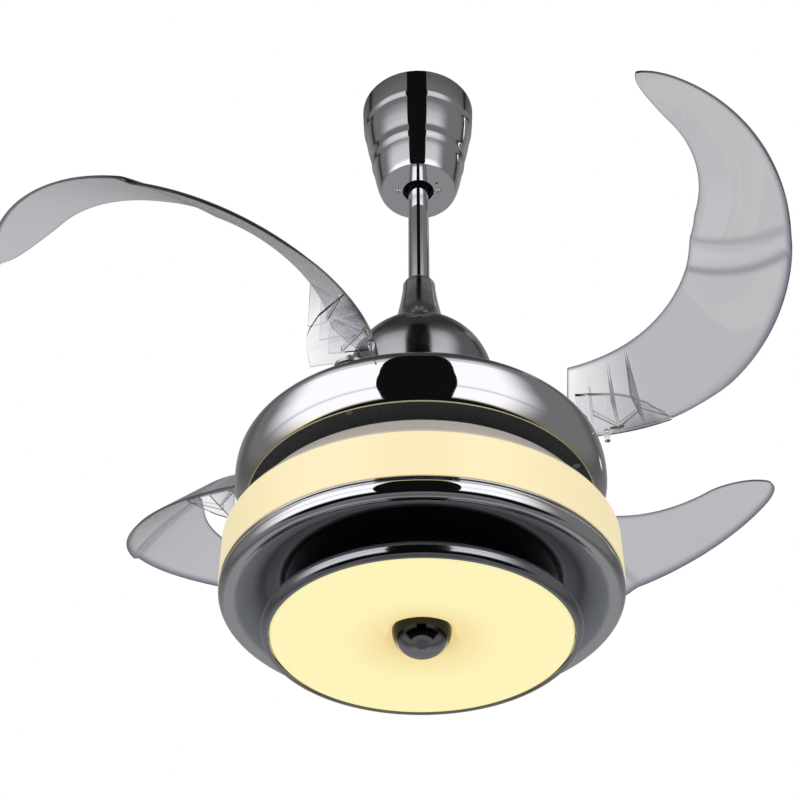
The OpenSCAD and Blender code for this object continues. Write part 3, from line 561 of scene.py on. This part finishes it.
def copies(name, piece, places):
    """One object that holds the piece at each place, and takes the piece away."""
    work = bmesh.new()
    for place in places:
        part = piece.data.copy()
        part.transform(place)
        work.from_mesh(part)
        bpy.data.meshes.remove(part)
    bpy.data.objects.remove(piece)
    mesh = bpy.data.meshes.new(name)
    work.to_mesh(mesh)
    work.free()
    mesh.set_sharp_from_angle(angle=math.radians(34))
    return placed(name, mesh)


screw_pair = copies(
    "canopy_cross_screws", cross_screw("screw", 4 * mm, 2.2 * mm, 2 * mm, 13 * mm),
    [Matrix.Translation((side * canopy_screw_x, 0, -canopy_h)) for side in (-1, 1)])
fit(screw_pair, "ceiling_mount", "chrome", chrome, "canopy_screws")

# ---------------------------------------------------------------------------
# Downrod. Chrome-plated steel tube, pinned to the hanger ball at the top and
# bolted into the yoke at the bottom.
rod_low, rod_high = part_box("downrod")
rod_r = rod_high.x
rod_wall = 2.4 * mm
chamfer = 0.5 * mm
rod_bore = rod_r - rod_wall
rod = lathe("downrod_tube", [
    (rod_bore, rod_low.z), (rod_r - chamfer, rod_low.z), (rod_r, rod_low.z + chamfer),
    (rod_r, rod_high.z - chamfer), (rod_r - chamfer, rod_high.z), (rod_bore, rod_high.z)], 160)
fit(rod, "hanging_column", "chrome", chrome, "downrod")

# ---------------------------------------------------------------------------
# Yoke, its bolt and the motor shaft. Machined steel: the yoke is the socket
# between the rod and the hollow shaft, which never turns.
turned = worked(
    "machined_steel", ((0.60, 0.61, 0.62),), dict(size=0.03, stretch=(0.3, 0.3, 40), detail=2.0),
    metallic=1.0, dull=(0.2, 0.4), relief=(0.15, 0.0001))
finish_nodes(turned, "yoke", "yoke_bolt", "motor_shaft", "lamp_hanger_nut")
finish_nodes(turned, "upper_bearing", "lower_bearing")

# ---------------------------------------------------------------------------
# Yoke cover. A bell of spun, chromed steel that slides down the rod and hides
# the yoke, with a rolled collar at its top.


def satin_chrome(name, tint):
    """Chrome over a finely blasted surface: softer and greyer than the mirror parts."""
    return worked(
        name, (tint,), dict(size=0.03, detail=4.0), metallic=1.0, dull=(0.12, 0.21),
        relief=(0.06, 0.001), relief_marks=dict(size=0.03, stretch=(1, 1, 2), detail=2.0))


light_satin = satin_chrome("light_satin_chrome", (0.80, 0.80, 0.82))
cover_low, cover_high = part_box("yoke_cover")
cover_h = cover_high.z - cover_low.z
cover_wall = 1.2 * mm
collar_bend = 4.4 * mm
cover_bell = curve_through([
    (rod_r + out * mm, cover_low.z + part * cover_h)
    for out, part in ((23, 0), (19.5, 0.09), (15, 0.25), (12.2, 0.42), (9.4, 0.63), (7.2, 0.85))])
cover_collar = arc((rod_r + 2.6 * mm, cover_high.z - collar_bend), collar_bend, 12, 90, 10)
cover_line = cover_bell + cover_collar + [Vector((rod_r + 0.3 * mm, cover_high.z))]
cover = lathe("yoke_cover_bell", sheet_outline(cover_line, cover_wall))
fit(cover, "hanging_column", "chrome", light_satin, "yoke_cover")

# ---------------------------------------------------------------------------
# Motor. The stator sits on the fixed shaft: varnished laminations and enamelled
# copper. The cast case turns round it on two bearings, with magnets inside.
core = worked(
    "varnished_core", ((0.13, 0.12, 0.12), (0.27, 0.27, 0.28)),
    dict(size=0.02, stretch=(0.2, 0.2, 60), detail=1.0), metallic=0.7, relief=(0.3, 0.0002), roughness=0.45)
copper = worked(
    "enamelled_copper", ((0.55, 0.22, 0.08), (0.80, 0.44, 0.20)),
    dict(size=0.01, stretch=(3, 3, 12), detail=2.0), metallic=1.0, relief=(0.5, 0.0006), roughness=0.28)
casting = worked(
    "cast_aluminium", ((0.7, 0.7, 0.72),), dict(size=0.003, detail=4.0), metallic=1.0,
    dull=(0.36, 0.56), relief=(0.35, 0.0002))
finish_nodes(core, "stator_core", "rotor_magnets")
finish_nodes(copper, "stator_winding")
finish_nodes(casting, "rotor_top", "rotor_bottom")

# ---------------------------------------------------------------------------
# Motor dome. Deep-drawn steel in mirror chrome over the motor: a straight skirt
# and half a sphere with a hole for the shaft.
dome_low, dome_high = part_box("motor_dome")
dome_r = dome_high.x
dome_wall = 1.5 * mm
shaft_hole_r = 15 * mm
dome_centre_z = dome_high.z - math.sqrt(dome_r**2 - shaft_hole_r**2)
hole_turn = math.degrees(math.acos(shaft_hole_r / dome_r))
dome_line = [Vector((dome_r, dome_low.z))] + arc((0, dome_centre_z), dome_r, 0, hole_turn, 60)
dome = lathe("motor_dome_shell", sheet_outline(dome_line, dome_wall))
fit(dome, "rotor", "chrome", satin_chrome("satin_chrome", (0.52, 0.52, 0.54)), "motor_dome")

# ---------------------------------------------------------------------------
# Blade tray. Steel plate in semi-gloss black, screwed up to the motor case. It
# carries the pivots, and closes the drum from below. Yellow-passivated screws.
black_paint = worked(
    "semi_gloss_black", ((0.066, 0.070, 0.077), (0.084, 0.089, 0.098)), dict(size=0.006),
    dull=(0.22, 0.38), relief=(0.12, 0.0002))
finish_nodes(black_paint, "blade_tray")
bronze = worked(
    "yellow_passivate", ((0.70, 0.50, 0.22), (0.84, 0.70, 0.40)), dict(size=0.004, detail=2.0),
    metallic=1.0, dull=(0.2, 0.36))
tray_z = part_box("blade_tray")[0].z
motor_case_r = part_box("rotor_bottom")[1].x
tray_screw_ring = motor_case_r - 14 * mm
tray_screws = copies(
    "tray_cross_screws", cross_screw("screw", 4.5 * mm, 2.4 * mm, 2.5 * mm, 2.8 * mm),
    [Matrix.Rotation(math.radians(45 * (i + 0.5)), 4, "Z")
     @ Matrix.Translation((tray_screw_ring, 0, tray_z - 0.1 * mm)) for i in range(8)])
fit(tray_screws, "rotor", "bronze", bronze, "tray_screws")

# ---------------------------------------------------------------------------
# Drum. One spun chrome wall round the blade gear: a rolled lip at the bottom, a
# narrow lower band, a crease, the upper band, and a lip turned in on top.


def mark_rim(mesh, amount, name="rim"):
    """Writes a number from 0 to 1 at each point, from its radius and height, for the material."""
    layer = mesh.attributes.new(name, "FLOAT", "POINT")
    layer.data.foreach_set("value", [amount(math.hypot(v.co.x, v.co.y), v.co.z) for v in mesh.vertices])


drum_low, drum_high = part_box("drum_shell")
drum_r = drum_high.x
drum_lip_r = 194 * mm
drum_wall = 1.5 * mm
painted_glint_inset = (9.7 * mm, 10.5 * mm)
painted_glint_rise = (7 * mm, 8 * mm)
drum_side = curve_through([
    (drum_r - inset * mm, drum_low.z + rise * mm)
    for inset, rise in (
        (16.2, 1.2), (15.5, 0.3), (14.4, 0), (13.3, 0.5), (11.7, 1.9), (9.6, 4.2), (7.25, 7.2), (5.3, 10),
        (4.1, 12), (3.1, 14), (2.3, 16), (1.15, 20), (0.3, 25), (0, 31), (0.1, 38), (0.8, 45), (2.3, 51.2),
        (4.9, 56.6), (8.0, 60.4), (11, 62.2))], 6)
drum_line = drum_side + [Vector((drum_lip_r, drum_high.z - 0.2 * mm))]
drum = lathe("drum_wall", sheet_outline(drum_line, drum_wall), 320)
# Painted reflection: the underside of the rolled lip takes the chrome's warm tint, as if it mirrored the lit
# diffuser.
mark_rim(drum.data, lambda r, z: over(painted_glint_inset, drum_r - r) * (1 - over(painted_glint_rise, z - drum_low.z)))
fit(drum, "rotor", "chrome", chrome, "drum_shell")

# ---------------------------------------------------------------------------
# Blade gear. Steel posts with clips, wound return springs, rubber stops, and a
# white moulded ring gear under four keepers, which opens the blades together.
finish_nodes(turned, "pivot_posts", "post_clips")
finish_nodes(zinc, "ring_keepers", "blade_hub_1", "blade_hub_2", "blade_hub_3", "blade_hub_4")
finish_nodes(bronze, "hub_bush_1", "hub_bush_2", "hub_bush_3", "hub_bush_4")
finish_nodes(moulded("ring_gear_moulding", (0.70, 0.69, 0.64), (0.80, 0.79, 0.74), 0.40), "sync_ring")
finish_nodes(moulded("stop_rubber", (0.025, 0.025, 0.025), (0.045, 0.045, 0.045), 0.72), "blade_stops")


def tube_along(points, radius, sides=10):
    """Closed round wire along the points."""
    work = bmesh.new()
    rings = []
    for i, point in enumerate(points):
        way = (points[min(i + 1, len(points) - 1)] - points[max(i - 1, 0)]).normalized()
        side = way.cross(Vector((0, 0, 1)))
        side = side.normalized() if side.length > 1e-3 else Vector((1, 0, 0))
        up = side.cross(way)
        rings.append([
            work.verts.new(point + radius * (math.cos(t) * side + math.sin(t) * up))
            for t in (2 * math.pi * s / sides for s in range(sides))])
    for here, there in zip(rings, rings[1:]):
        for s in range(sides):
            work.faces.new((here[s], here[(s + 1) % sides], there[(s + 1) % sides], there[s]))
    work.faces.new(rings[0][::-1])
    work.faces.new(rings[-1])
    return finished("wire", work, 60)


def pivot_of(number):
    """Centre of a blade's post, from the bush that runs on it."""
    low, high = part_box(f"hub_bush_{number}")
    return Vector(((low.x + high.x) / 2, (low.y + high.y) / 2, 0))


blade_numbers = (1, 2, 3, 4)
spring_turn_r = 13.5 * mm
spring_wire_r = 1.4 * mm
spring_turns = 6
spring_steps = 28
spring_coil_h = 20 * mm
spring_coil_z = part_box("return_springs")[1].z - spring_coil_h
spring_leg_out = 1.2 * mm
spring_leg_ends = (tray_z + 3 * mm, spring_coil_z - 2 * mm)
coil = [Vector((spring_turn_r + spring_leg_out, -spring_leg_out, z)) for z in spring_leg_ends]
for i in range(spring_turns * spring_steps + 1):
    turn = 2 * math.pi * i / spring_steps
    rise = spring_wire_r + (spring_coil_h - 2 * spring_wire_r) * i / (spring_turns * spring_steps)
    round_z = spring_turn_r * Vector((math.cos(turn), math.sin(turn), 0))
    coil.append(round_z + Vector((0, 0, spring_coil_z + rise)))
spring = copies("return_spring_coils", tube_along(coil, spring_wire_r), [
    Matrix.Translation(pivot_of(k)) @ Matrix.Rotation(math.atan2(pivot_of(k).y, pivot_of(k).x), 4, "Z")
    for k in blade_numbers])
fit(spring, "rotor", "zinc_steel", zinc, "return_springs")

# ---------------------------------------------------------------------------
# Blades. Each is one moulding of clear, slightly smoky acrylic: a crescent sheet
# that climbs and twists, with a step across it, a turned-down outer lip, and at
# the root a flat flange under a fan of ribs. Three screws hold it to its hub.
pivot_r = pivot_of(1).length
blade_out_r = drum_r + 5.3 * mm
blade_w = 89 * mm
blade_in_r = blade_out_r - blade_w
blade_arc = 168.0
blade_t = 3.2 * mm
hub_top_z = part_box("blade_hub_1")[1].z
flange_t = 3.5 * mm
flange_top_z = hub_top_z + flange_t
blade_root_z = hub_top_z + flange_t / 2
root_edge_r = 170 * mm
root_rise = 98 * mm
root_narrow = 37 * mm
root_narrow_to = 80
inner_climb = 41 * mm
outer_climb = 107 * mm
outer_climb_from = 22
outer_climb_over = 143
tip_narrow_from = 93
tip_narrow = 0.34 * mm
step_h = 6 * mm
step_at = 65.0
step_slant = 30.0
step_arc = 15.0
step_tighter = 9.0
nose_w = 8 * mm
inner_nose_arc = 22
outer_nose_arc = 10
lip_w = 6.5 * mm
lip_drop = 3.6 * mm
lip_span = (34, 54)


def nose(turn, nose_arc):
    """How far an edge has come round the blade's nose, from 0 to 1."""
    return 1 - math.sqrt(1 - held((turn - blade_arc) / nose_arc + 1) ** 2)


def inner_edge(turn):
    """Radius of the blade's inner edge, at an angle measured back from its pivot."""
    if turn < root_narrow_to:
        return blade_in_r + root_narrow * (1 - turn / root_narrow_to)
    if turn < tip_narrow_from:
        return blade_in_r
    start = blade_in_r + tip_narrow * (turn - tip_narrow_from) ** 1.1
    return start + (blade_out_r - nose_w - start) * nose(turn, inner_nose_arc)


def outer_edge(turn):
    """Radius of the blade's outer edge."""
    return blade_out_r - nose_w * nose(turn, outer_nose_arc)


def past_step(radius, turn):
    """Degrees from where the blade's step begins, and from where it ends, at a radius."""
    share = (radius - blade_in_r) / blade_w
    begun = turn - step_at - step_slant * share
    return begun, begun - step_arc + step_tighter * share


def blade_height(radius, turn):
    """Height of the blade's middle surface over its root."""
    outer = outer_climb * (1 - math.cos(math.pi * held((turn - outer_climb_from) / outer_climb_over))) / 2
    inner = root_rise + inner_climb * math.sin(math.pi / 2 * held(turn / blade_arc)) ** 3
    begun, ended = past_step(radius, turn)
    share = (radius - blade_in_r) / blade_w
    return inner + (outer - inner) * share + step_h * ease(begun / (begun - ended))


def lip_share(radius, turn):
    """How far into the turned-down lip a point of the blade lies, from 0 to 1."""
    return over(lip_span, turn) * ease(1 - (outer_edge(turn) - radius) / lip_w)


def edge_distance(radius, turn):
    """Distance from the nearest edge of the sheet."""
    root = math.radians(turn + 1) * root_edge_r
    return max(0.0, min(radius - inner_edge(turn), outer_edge(turn) - radius, root))


def blade_sheet():
    """The crescent sheet with round edges."""
    half = blade_t / 2
    nose_from = blade_arc - inner_nose_arc
    rows = 200
    nose_rows = 36
    columns = 26
    along = [-1, -0.97, -0.9, -0.78, -0.62, -0.46, 0]
    along += [nose_from * i / rows for i in range(1, rows)]
    along += [
        nose_from + inner_nose_arc * math.sin(math.pi / 2 * i / nose_rows) for i in range(nose_rows + 1)]
    rim = [0.0, 0.04, 0.16, 0.38, 0.68, 1.0]
    work = bmesh.new()
    top, under = [], []
    for turn in along:
        low, high = inner_edge(turn), outer_edge(turn)
        edge = min(half, (high - low) / 2)
        inner_span = high - low - 2 * edge
        across = [low + edge * k for k in rim]
        across += [low + edge + inner_span * i / columns for i in range(1, columns)]
        across += [high - edge * k for k in rim[::-1]]
        up, down = [], []
        for radius in across:
            depth = min(1.0, edge_distance(radius, turn) / half)
            thick = half * math.sqrt(max(0.0, 1 - (1 - depth) ** 2))
            height = blade_root_z + blade_height(radius, turn) - lip_drop * lip_share(radius, turn) ** 2
            place = around(radius, turn)
            up.append(work.verts.new((*place, height + thick)))
            down.append(work.verts.new((*place, height - thick)))
        top.append(up)
        under.append(down)
    for grid, way in ((top, 1), (under, -1)):
        for here, there in zip(grid, grid[1:]):
            for i in range(len(here) - 1):
                work.faces.new((here[i], here[i + 1], there[i + 1], there[i])[::way])
    return finished("blade", work, 50)


def around(radius, turn):
    """A point of the folded blade, at an angle measured back from its pivot."""
    return Vector((radius * math.cos(math.radians(turn)), -radius * math.sin(math.radians(turn))))


def slab(outline, low, highs):
    """Upright-sided slab from a flat outline, with its top at a height given for each point."""
    work = bmesh.new()
    foot = [work.verts.new((*point, low)) for point in outline]
    head = [work.verts.new((*point, high)) for point, high in zip(outline, highs)]
    work.faces.new(foot[::-1])
    work.faces.new(head)
    for i in range(len(outline)):
        j = (i + 1) % len(outline)
        work.faces.new((foot[i], foot[j], head[j], head[i]))
    return finished("slab", work)


flange_end = 31.0
flange_arc = 27.0
pad_r = 19 * mm
screw_ring_r = 13 * mm
screw_hole_r = 2.25 * mm
post_hole_r = 8.5 * mm
rib_turns = (7, 15, 23)
rib_t = 2 * mm
rib_low = flange_top_z - 0.3 * mm
rib_foot_h = 0.8 * mm
braces = (((7, 38), (15, 9)), ((15, 9), (23, 30)), ((23, 38), (30, 9)))
brace_t = 1.4 * mm
brace_h = (7 * mm, 4.2 * mm)
boss_r = 3.2 * mm
boss_turn = 11


def rib(start, end, thick, high_start, high_end):
    """Upright rib on the flange, whose top slopes from one height to the other."""
    way = (end - start).normalized()
    side = Vector((-way.y, way.x)) * (thick / 2)
    outline = [start + side, start - side, end - side, end + side]
    return slab(outline, rib_low, [high_start, high_start, high_end, high_end])


def root_parts():
    """Flange, ribs and boss at the blade's root."""
    outline = curve_through([
        around(blade_in_r + out * mm, turn) for turn, out in ((0, 16), (10, 17), (20, 26), (27, 49))], 6)
    outline += [around(blade_out_r - 0.5 * mm, flange_end - flange_arc * i / 12) for i in range(13)]
    parts = [
        slab(outline, hub_top_z, [flange_top_z] * len(outline)),
        peg((pivot_r, 0), pad_r, hub_top_z, flange_top_z, 72)]
    for turn in rib_turns:
        near = inner_edge(turn) + 4 * mm
        far = blade_out_r - 6 * mm
        high = blade_root_z + blade_height(near, turn)
        parts.append(rib(around(near, turn), around(far, turn), rib_t, high, rib_low + rib_foot_h))
    for ends in braces:
        start, end = (around(blade_out_r - inset * mm, turn) for turn, inset in ends)
        parts.append(rib(start, end, brace_t, rib_low + brace_h[0], rib_low + brace_h[1]))
    boss = around(blade_out_r - boss_r, boss_turn)
    parts.append(peg(boss, boss_r, hub_top_z - 10 * mm, flange_top_z + 4 * mm, 36))
    return parts


def screw_places():
    """Where the three screws go through a folded blade's flange."""
    for i in range(3):
        turn = math.radians(120 * i + 30)
        yield pivot_r + screw_ring_r * math.cos(turn), screw_ring_r * math.sin(turn)


def clear_acrylic():
    """Clear smoky acrylic. The sheet's edges look darker, because one sees along them; the tint paints that
    in as shade, and paints shade on the lip and at the step's crease too.
    """
    made = principled("clear_acrylic", (0.62, 0.62, 0.65), 0.02)
    shader_of(made).inputs["IOR"].default_value = 1.49
    shader_of(made).inputs["Transmission Weight"].default_value = 1.0
    set_by(made, written(made, "tint", "Color"), "Base Color")
    roughen(made, grain(made, 0.05, detail=2.0), 0.06, 0.002)
    return made


sheet_tint = Vector((0.52, 0.52, 0.545))
painted_edge_shade = Vector((0.11, 0.11, 0.16))
root_tint = Vector((0.95, 0.95, 0.965))
smoky_span = (-6, 28)
root_end = 34
under_sheet = 3 * mm
painted_edge_shade_w = 2.4 * mm
painted_lip_shade = 0.85
painted_crease_half = (2.4, 2.6)
painted_crease_shade = (0.55, 0.3)


def tint_and_shade_blade(mesh):
    """Writes the acrylic's tint at each point: clear at the root, with painted shade along the sheet's edges,
    on the turned-down lip and at the step's crease.
    """
    tints = []
    for vertex in mesh.vertices:
        x, y, z = vertex.co
        radius = math.hypot(x, y)
        turn = -math.degrees(math.atan2(y, x))
        if blade_root_z + blade_height(radius, turn) - z > under_sheet and turn < root_end:
            tints += [*root_tint, 1]
            continue
        # Painted shade: darker towards the sheet's edges, on the turned-down lip and at the step's crease.
        dark = max(1 - ease(edge_distance(radius, turn) / painted_edge_shade_w), painted_lip_shade * lip_share(radius, turn))
        for past, half, most in zip(past_step(radius, turn), painted_crease_half, painted_crease_shade):
            dark = max(dark, most * bump(past / half))
        sheet = root_tint.lerp(sheet_tint, over(smoky_span, turn))
        tints += [*sheet.lerp(painted_edge_shade, dark), 1]
    mesh.attributes.new("tint", "FLOAT_COLOR", "POINT").data.foreach_set("color", tints)


acrylic = clear_acrylic()
folded_blade = carve(blade_sheet(), root_parts(), "UNION")
hole_from, hole_to = hub_top_z - 1 * mm, hub_top_z + 12 * mm
carve(folded_blade, [peg((pivot_r, 0), post_hole_r, hole_from, hole_to, 56)] + [
    peg(place, screw_hole_r, hole_from, hole_to, 24) for place in screw_places()], sharp=38)
tint_and_shade_blade(folded_blade.data)
fold_joint = next(joint for joint in frame["joints"] if joint["name"] == "blade_fold_1")
fold = math.radians(max(abs(limit) for limit in fold_joint["range_deg"]))


def opened(number):
    """Takes a folded blade to its post, and turns it out to the open position."""
    pivot = pivot_of(number)
    facing = math.atan2(pivot.y, pivot.x)
    return (
        Matrix.Translation(pivot) @ Matrix.Rotation(facing + fold, 4, "Z")
        @ Matrix.Translation((-pivot_r, 0, 0)))


for number in blade_numbers:
    blade = placed(f"clear_blade_{number}", folded_blade.data.copy())
    blade.data.transform(opened(number))
    blade.visible_glossy = False
    fit(blade, f"blade_unit_{number}", "clear_acrylic", acrylic, f"blade_{number}")
bpy.data.objects.remove(folded_blade)

# ---------------------------------------------------------------------------
# Blade screws and root pins. Yellow-passivated: three cross-head screws hold
# each flange to its hub, and a short pin lies in the ribs near the boss.
head_seat_z = flange_top_z + 0.05 * mm
head_up = Matrix.Rotation(math.pi, 4, "X")
pin_r = 1.6 * mm
pin_z = flange_top_z + 2.2 * mm
pin_turns = (12.2, 16.5)
for number in blade_numbers:
    screws = copies(
        f"blade_cross_screws_{number}", cross_screw("screw", 3.6 * mm, 2 * mm, 1.95 * mm, 7.8 * mm),
        [opened(number) @ Matrix.Translation((x, y, head_seat_z)) @ head_up for x, y in screw_places()])
    fit(screws, f"blade_unit_{number}", "bronze", bronze, f"blade_screws_{number}")
    start, end = (Vector((*around(blade_out_r - 7 * mm, turn), pin_z)) for turn in pin_turns)
    pin = tube_along([start.lerp(end, i / 4) for i in range(5)], pin_r, 16)
    pin.name = f"root_pin_{number}"
    pin.data.transform(opened(number))
    fit(pin, f"blade_unit_{number}", "bronze", bronze)

# ---------------------------------------------------------------------------
# Lamp pan. Pressed steel in satin white, which closes the lamp on top. Its
# sloping shoulder shows over the side diffuser.
satin = worked(
    "satin_white", ((0.51, 0.47, 0.42), (0.55, 0.51, 0.46)), dict(size=0.005), dull=(0.32, 0.46),
    relief=(0.1, 0.0002))
band_low, band_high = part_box("side_diffuser")
lamp_r = band_high.x
band_z = band_low.z - 0.1 * mm
pan_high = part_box("lamp_pan")[1]
pan_shoulder_r = lamp_r - 28 * mm
pan_edge_r = lamp_r - 2 * mm
pan_top = curve_through([
    (pan_edge_r - 15 * mm, band_high.z + 0.25 * mm), (pan_edge_r - 1.2 * mm, band_high.z + 0.3 * mm),
    (pan_edge_r - 0.4 * mm, band_high.z + 1.6 * mm), (pan_edge_r - 1.6 * mm, band_high.z + 3.4 * mm),
    (pan_shoulder_r + 8 * mm, pan_high.z - 12 * mm), (pan_shoulder_r + 1 * mm, pan_high.z - 2.6 * mm),
    (pan_shoulder_r - 3 * mm, pan_high.z)], 5)
pan_hole_r = 8.53 * mm
pan_wall = 1.2 * mm
pan = lathe("lamp_pan_pressing", sheet_outline(pan_top + [Vector((pan_hole_r, pan_high.z))], pan_wall))
fit(pan, "hanging_column", "white_paint", satin, "lamp_pan")

# ---------------------------------------------------------------------------
# Lights. A white carrier dish on four posts, a round board under it, a strip
# of board behind the side diffuser, and the driver on two feet.
finish_nodes(satin, "led_carrier", "bottom_led_board", "side_led_board")
finish_nodes(white_case, "led_driver")
finish_nodes(zinc, "lamp_standoffs", "finial_stud")

# ---------------------------------------------------------------------------
# Side diffuser. A ring of opal acrylic, lit from inside by warm white lights,
# between the pan and the chrome ring.


def lit_opal(name, body, light, rim_light, strength, ripple):
    """Lit opal acrylic, whose light has another colour where its mesh marks a rim."""
    made = principled(name, body, 0.3)
    set_by(made, two_tone(made, written(made, "rim"), light, rim_light), "Emission Color")
    shader_of(made).inputs["Emission Strength"].default_value = strength
    roughen(made, grain(made, ripple, detail=1.0), 0.04, 0.001)
    return made


band_opal = lit_opal("opal_band", (0.42, 0.36, 0.22), (1.0, 0.87, 0.53), (1.0, 0.84, 0.45), 0.56, 0.03)
diffuser_wall = 3 * mm
band_top = band_high.z
band_foot = band_z + 1.2 * mm
band_flat = band_top - band_z - 4.6 * mm
band_bend = 3.2 * mm
band_line = (
    [(lamp_r - 1.2 * mm, band_z + 0.1 * mm), (lamp_r - 0.3 * mm, band_z + 0.4 * mm)]
    + [(lamp_r, band_foot + band_flat * i / 8) for i in range(9)]
    + arc((lamp_r - band_bend, band_top - 3.3 * mm), band_bend, 10, 90, 7))
band = lathe("side_diffuser_band", sheet_outline(band_line, diffuser_wall), 320)
mark_rim(band.data, lambda r, z: ease(abs(z - (band_z + band_top) / 2) / (band_top - band_z) * 2.2 - 1.0))
fit(band, "hanging_column", "opal_acrylic", band_opal, "side_diffuser")

# ---------------------------------------------------------------------------
# Lamp ring. Spun steel in mirror chrome: a rolled edge under the diffuser, a
# hollow dish, and a straight neck in the middle.


def spun_ring():
    """Mirror chrome on the rolled edge, a duller finish with a painted slate reflection in the dish, and
    black on the neck.
    """
    made = principled("spun_ring_chrome", mirror, 0.035, metallic=1.0)
    dish = written(made, "dish")
    coat = two_tone(made, written(made, "rim"), mirror, (0.02, 0.02, 0.022))
    made.node_tree.links.new(two_tone(made, dish, mirror, (0.36, 0.38, 0.42)), coat.node.inputs["A"])
    set_by(made, coat, "Base Color")
    set_by(made, between(made, dish, 0.035, 0.36, 0, 1), "Roughness")
    set_by(made, between(made, dish, 1.0, 0.35, 0, 1), "Metallic")
    roughen(made, grain(made, **long_waves), 0.05, 0.002)
    return made


neck_low_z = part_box("lamp_ring")[0].z
neck_r = lamp_r - 67 * mm
roll_r = 10.2 * mm
roll_z = band_z - 9.3 * mm
ring_wall = 1.2 * mm
dull_painted_slate_inset = (15 * mm, 21 * mm)
black_rim = (1 * mm, 5 * mm)
ring_line = (
    [Vector((lamp_r - 25.5 * mm, band_z - 0.6 * mm)), Vector((lamp_r - 1.6 * mm, band_z - 0.6 * mm))]
    + arc((lamp_r - 11 * mm, roll_z), roll_r, 62, -78, 26)
    + curve_through([
        (lamp_r - 14.5 * mm, band_z - 18.9 * mm), (lamp_r - 20 * mm, band_z - 16.2 * mm),
        (lamp_r - 28 * mm, band_z - 11.6 * mm), (lamp_r - 40 * mm, band_z - 4 * mm),
        (neck_r + 17 * mm, band_z + 5.6 * mm), (neck_r + 8 * mm, band_z + 10.6 * mm),
        (neck_r + 3 * mm, band_z + 11.6 * mm), (neck_r - 0.4 * mm, band_z + 9.6 * mm),
        (neck_r - 1.3 * mm, band_z + 4 * mm), (neck_r - 1.2 * mm, band_z - 12 * mm),
        (neck_r - 0.1 * mm, neck_low_z + 0.5 * mm)], 7))
ring = lathe("lamp_ring_spinning", sheet_outline(ring_line[::-1], ring_wall), 320)
mark_rim(ring.data, lambda r, z: 1 - over(black_rim, r - neck_r))
# The dish is duller and partly diffuse, and its slate colour is a painted reflection.
mark_rim(ring.data, lambda r, z: over(dull_painted_slate_inset, lamp_r - r) * (r > neck_r), "dish")
fit(ring, "hanging_column", "chrome", spun_ring(), "lamp_ring")

# ---------------------------------------------------------------------------
# Bezel. A rolled ring in dark chrome, which holds the bottom diffuser up to the
# neck all the way round.
smoky_mirror = (0.50, 0.50, 0.53)
dark_plate = worked("dark_chrome", (smoky_mirror,), dict(size=0.04), metallic=1.0, dull=(0.07, 0.14))
bezel_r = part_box("bezel")[1].x
bezel_wall = 1.0 * mm
disc_r = neck_r + 10 * mm
disc_z = band_z - 56 * mm
bezel_line = (
    arc((disc_r + 0.4 * mm, disc_z + 7.6 * mm), bezel_r - disc_r - 0.4 * mm, -86, 62, 22)
    + curve_through([
        (disc_r - 1 * mm, neck_low_z - 4.2 * mm), (neck_r + 3.4 * mm, neck_low_z - 2.2 * mm),
        (neck_r + 1.5 * mm, neck_low_z), (neck_r + 1.2 * mm, neck_low_z + 4 * mm)], 6))
bezel = lathe("bezel_ring", sheet_outline(bezel_line, bezel_wall), 320)
fit(bezel, "hanging_column", "dark_chrome", dark_plate, "bezel")

# ---------------------------------------------------------------------------
# Bottom diffuser. A flat disc of opal acrylic with a dimple in the middle, lit
# from inside, in the bezel.
# The disc's light is dimmer and more orange round the finial: painted shade.
disc_opal = lit_opal("opal_disc", (0.42, 0.38, 0.20), (1.0, 0.92, 0.50), (0.93, 0.72, 0.33), 0.72, 0.05)
finial_low, finial_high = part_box("finial")
finial_r = finial_high.x
finial_rim_z = finial_high.z - 0.4 * mm
disc_line = (
    curve_through([
        (5 * mm, finial_rim_z + 1 * mm), (finial_r + 1.5 * mm, finial_rim_z + 0.6 * mm),
        (finial_r + 9 * mm, disc_z + 5 * mm), (finial_r + 20 * mm, disc_z + 1.6 * mm),
        (disc_r * 0.45, disc_z - 0.8 * mm), (disc_r * 0.7, disc_z - 1.6 * mm),
        (disc_r - 22 * mm, disc_z - 1.5 * mm), (disc_r - 9 * mm, disc_z - 0.9 * mm)], 8)
    + arc((disc_r - 3.4 * mm, disc_z + 2.6 * mm), 3.3 * mm, -95, 0, 8))
finial_shade_reach = 62 * mm
disc = lathe("bottom_diffuser_disc", sheet_outline(disc_line, diffuser_wall), 320)
mark_rim(disc.data, lambda r, z: 1 - ease((r - finial_r) / finial_shade_reach))
fit(disc, "hanging_column", "opal_acrylic", disc_opal, "bottom_diffuser")

# ---------------------------------------------------------------------------
# Finial. A turned, chromed knob on a stud, which holds the diffuser's middle up
# in its dimple.


def knob_chrome_with_painted_dark():
    """Grey chrome with a faint haze, and a painted dark reflection, black, from the rim to half way down."""
    made = worked("chrome_with_painted_dark", (smoky_mirror,), dict(size=0.03), metallic=1.0, dull=(0.04, 0.09))
    # The black from the rim down is a painted dark reflection.
    black = two_tone(made, written(made, "rim"), smoky_mirror, (0.035, 0.035, 0.035))
    set_by(made, black, "Base Color")
    return made


finial_h = finial_rim_z - finial_low.z
knob_edge = 0.8 * mm
painted_dark_span = (14 * mm, 19 * mm)
stud_hole_r = 3.03 * mm
stud_hole_top = finial_rim_z - 14 * mm
knob = [(0, stud_hole_top), (stud_hole_r, stud_hole_top), (stud_hole_r, finial_high.z)]
knob += [(finial_r - 2 * knob_edge, finial_high.z), (finial_r - knob_edge, finial_high.z - 0.1 * mm)]
for i in range(41):
    turn = math.pi / 2 * i / 40
    knob.append((finial_r * math.cos(turn), finial_rim_z - finial_h * math.sin(turn)))
finial = lathe("finial_knob", knob, 200)
mark_rim(finial.data, lambda r, z: 1 - over(painted_dark_span, finial_rim_z - z))
fit(finial, "hanging_column", "dark_chrome", knob_chrome_with_painted_dark(), "finial")
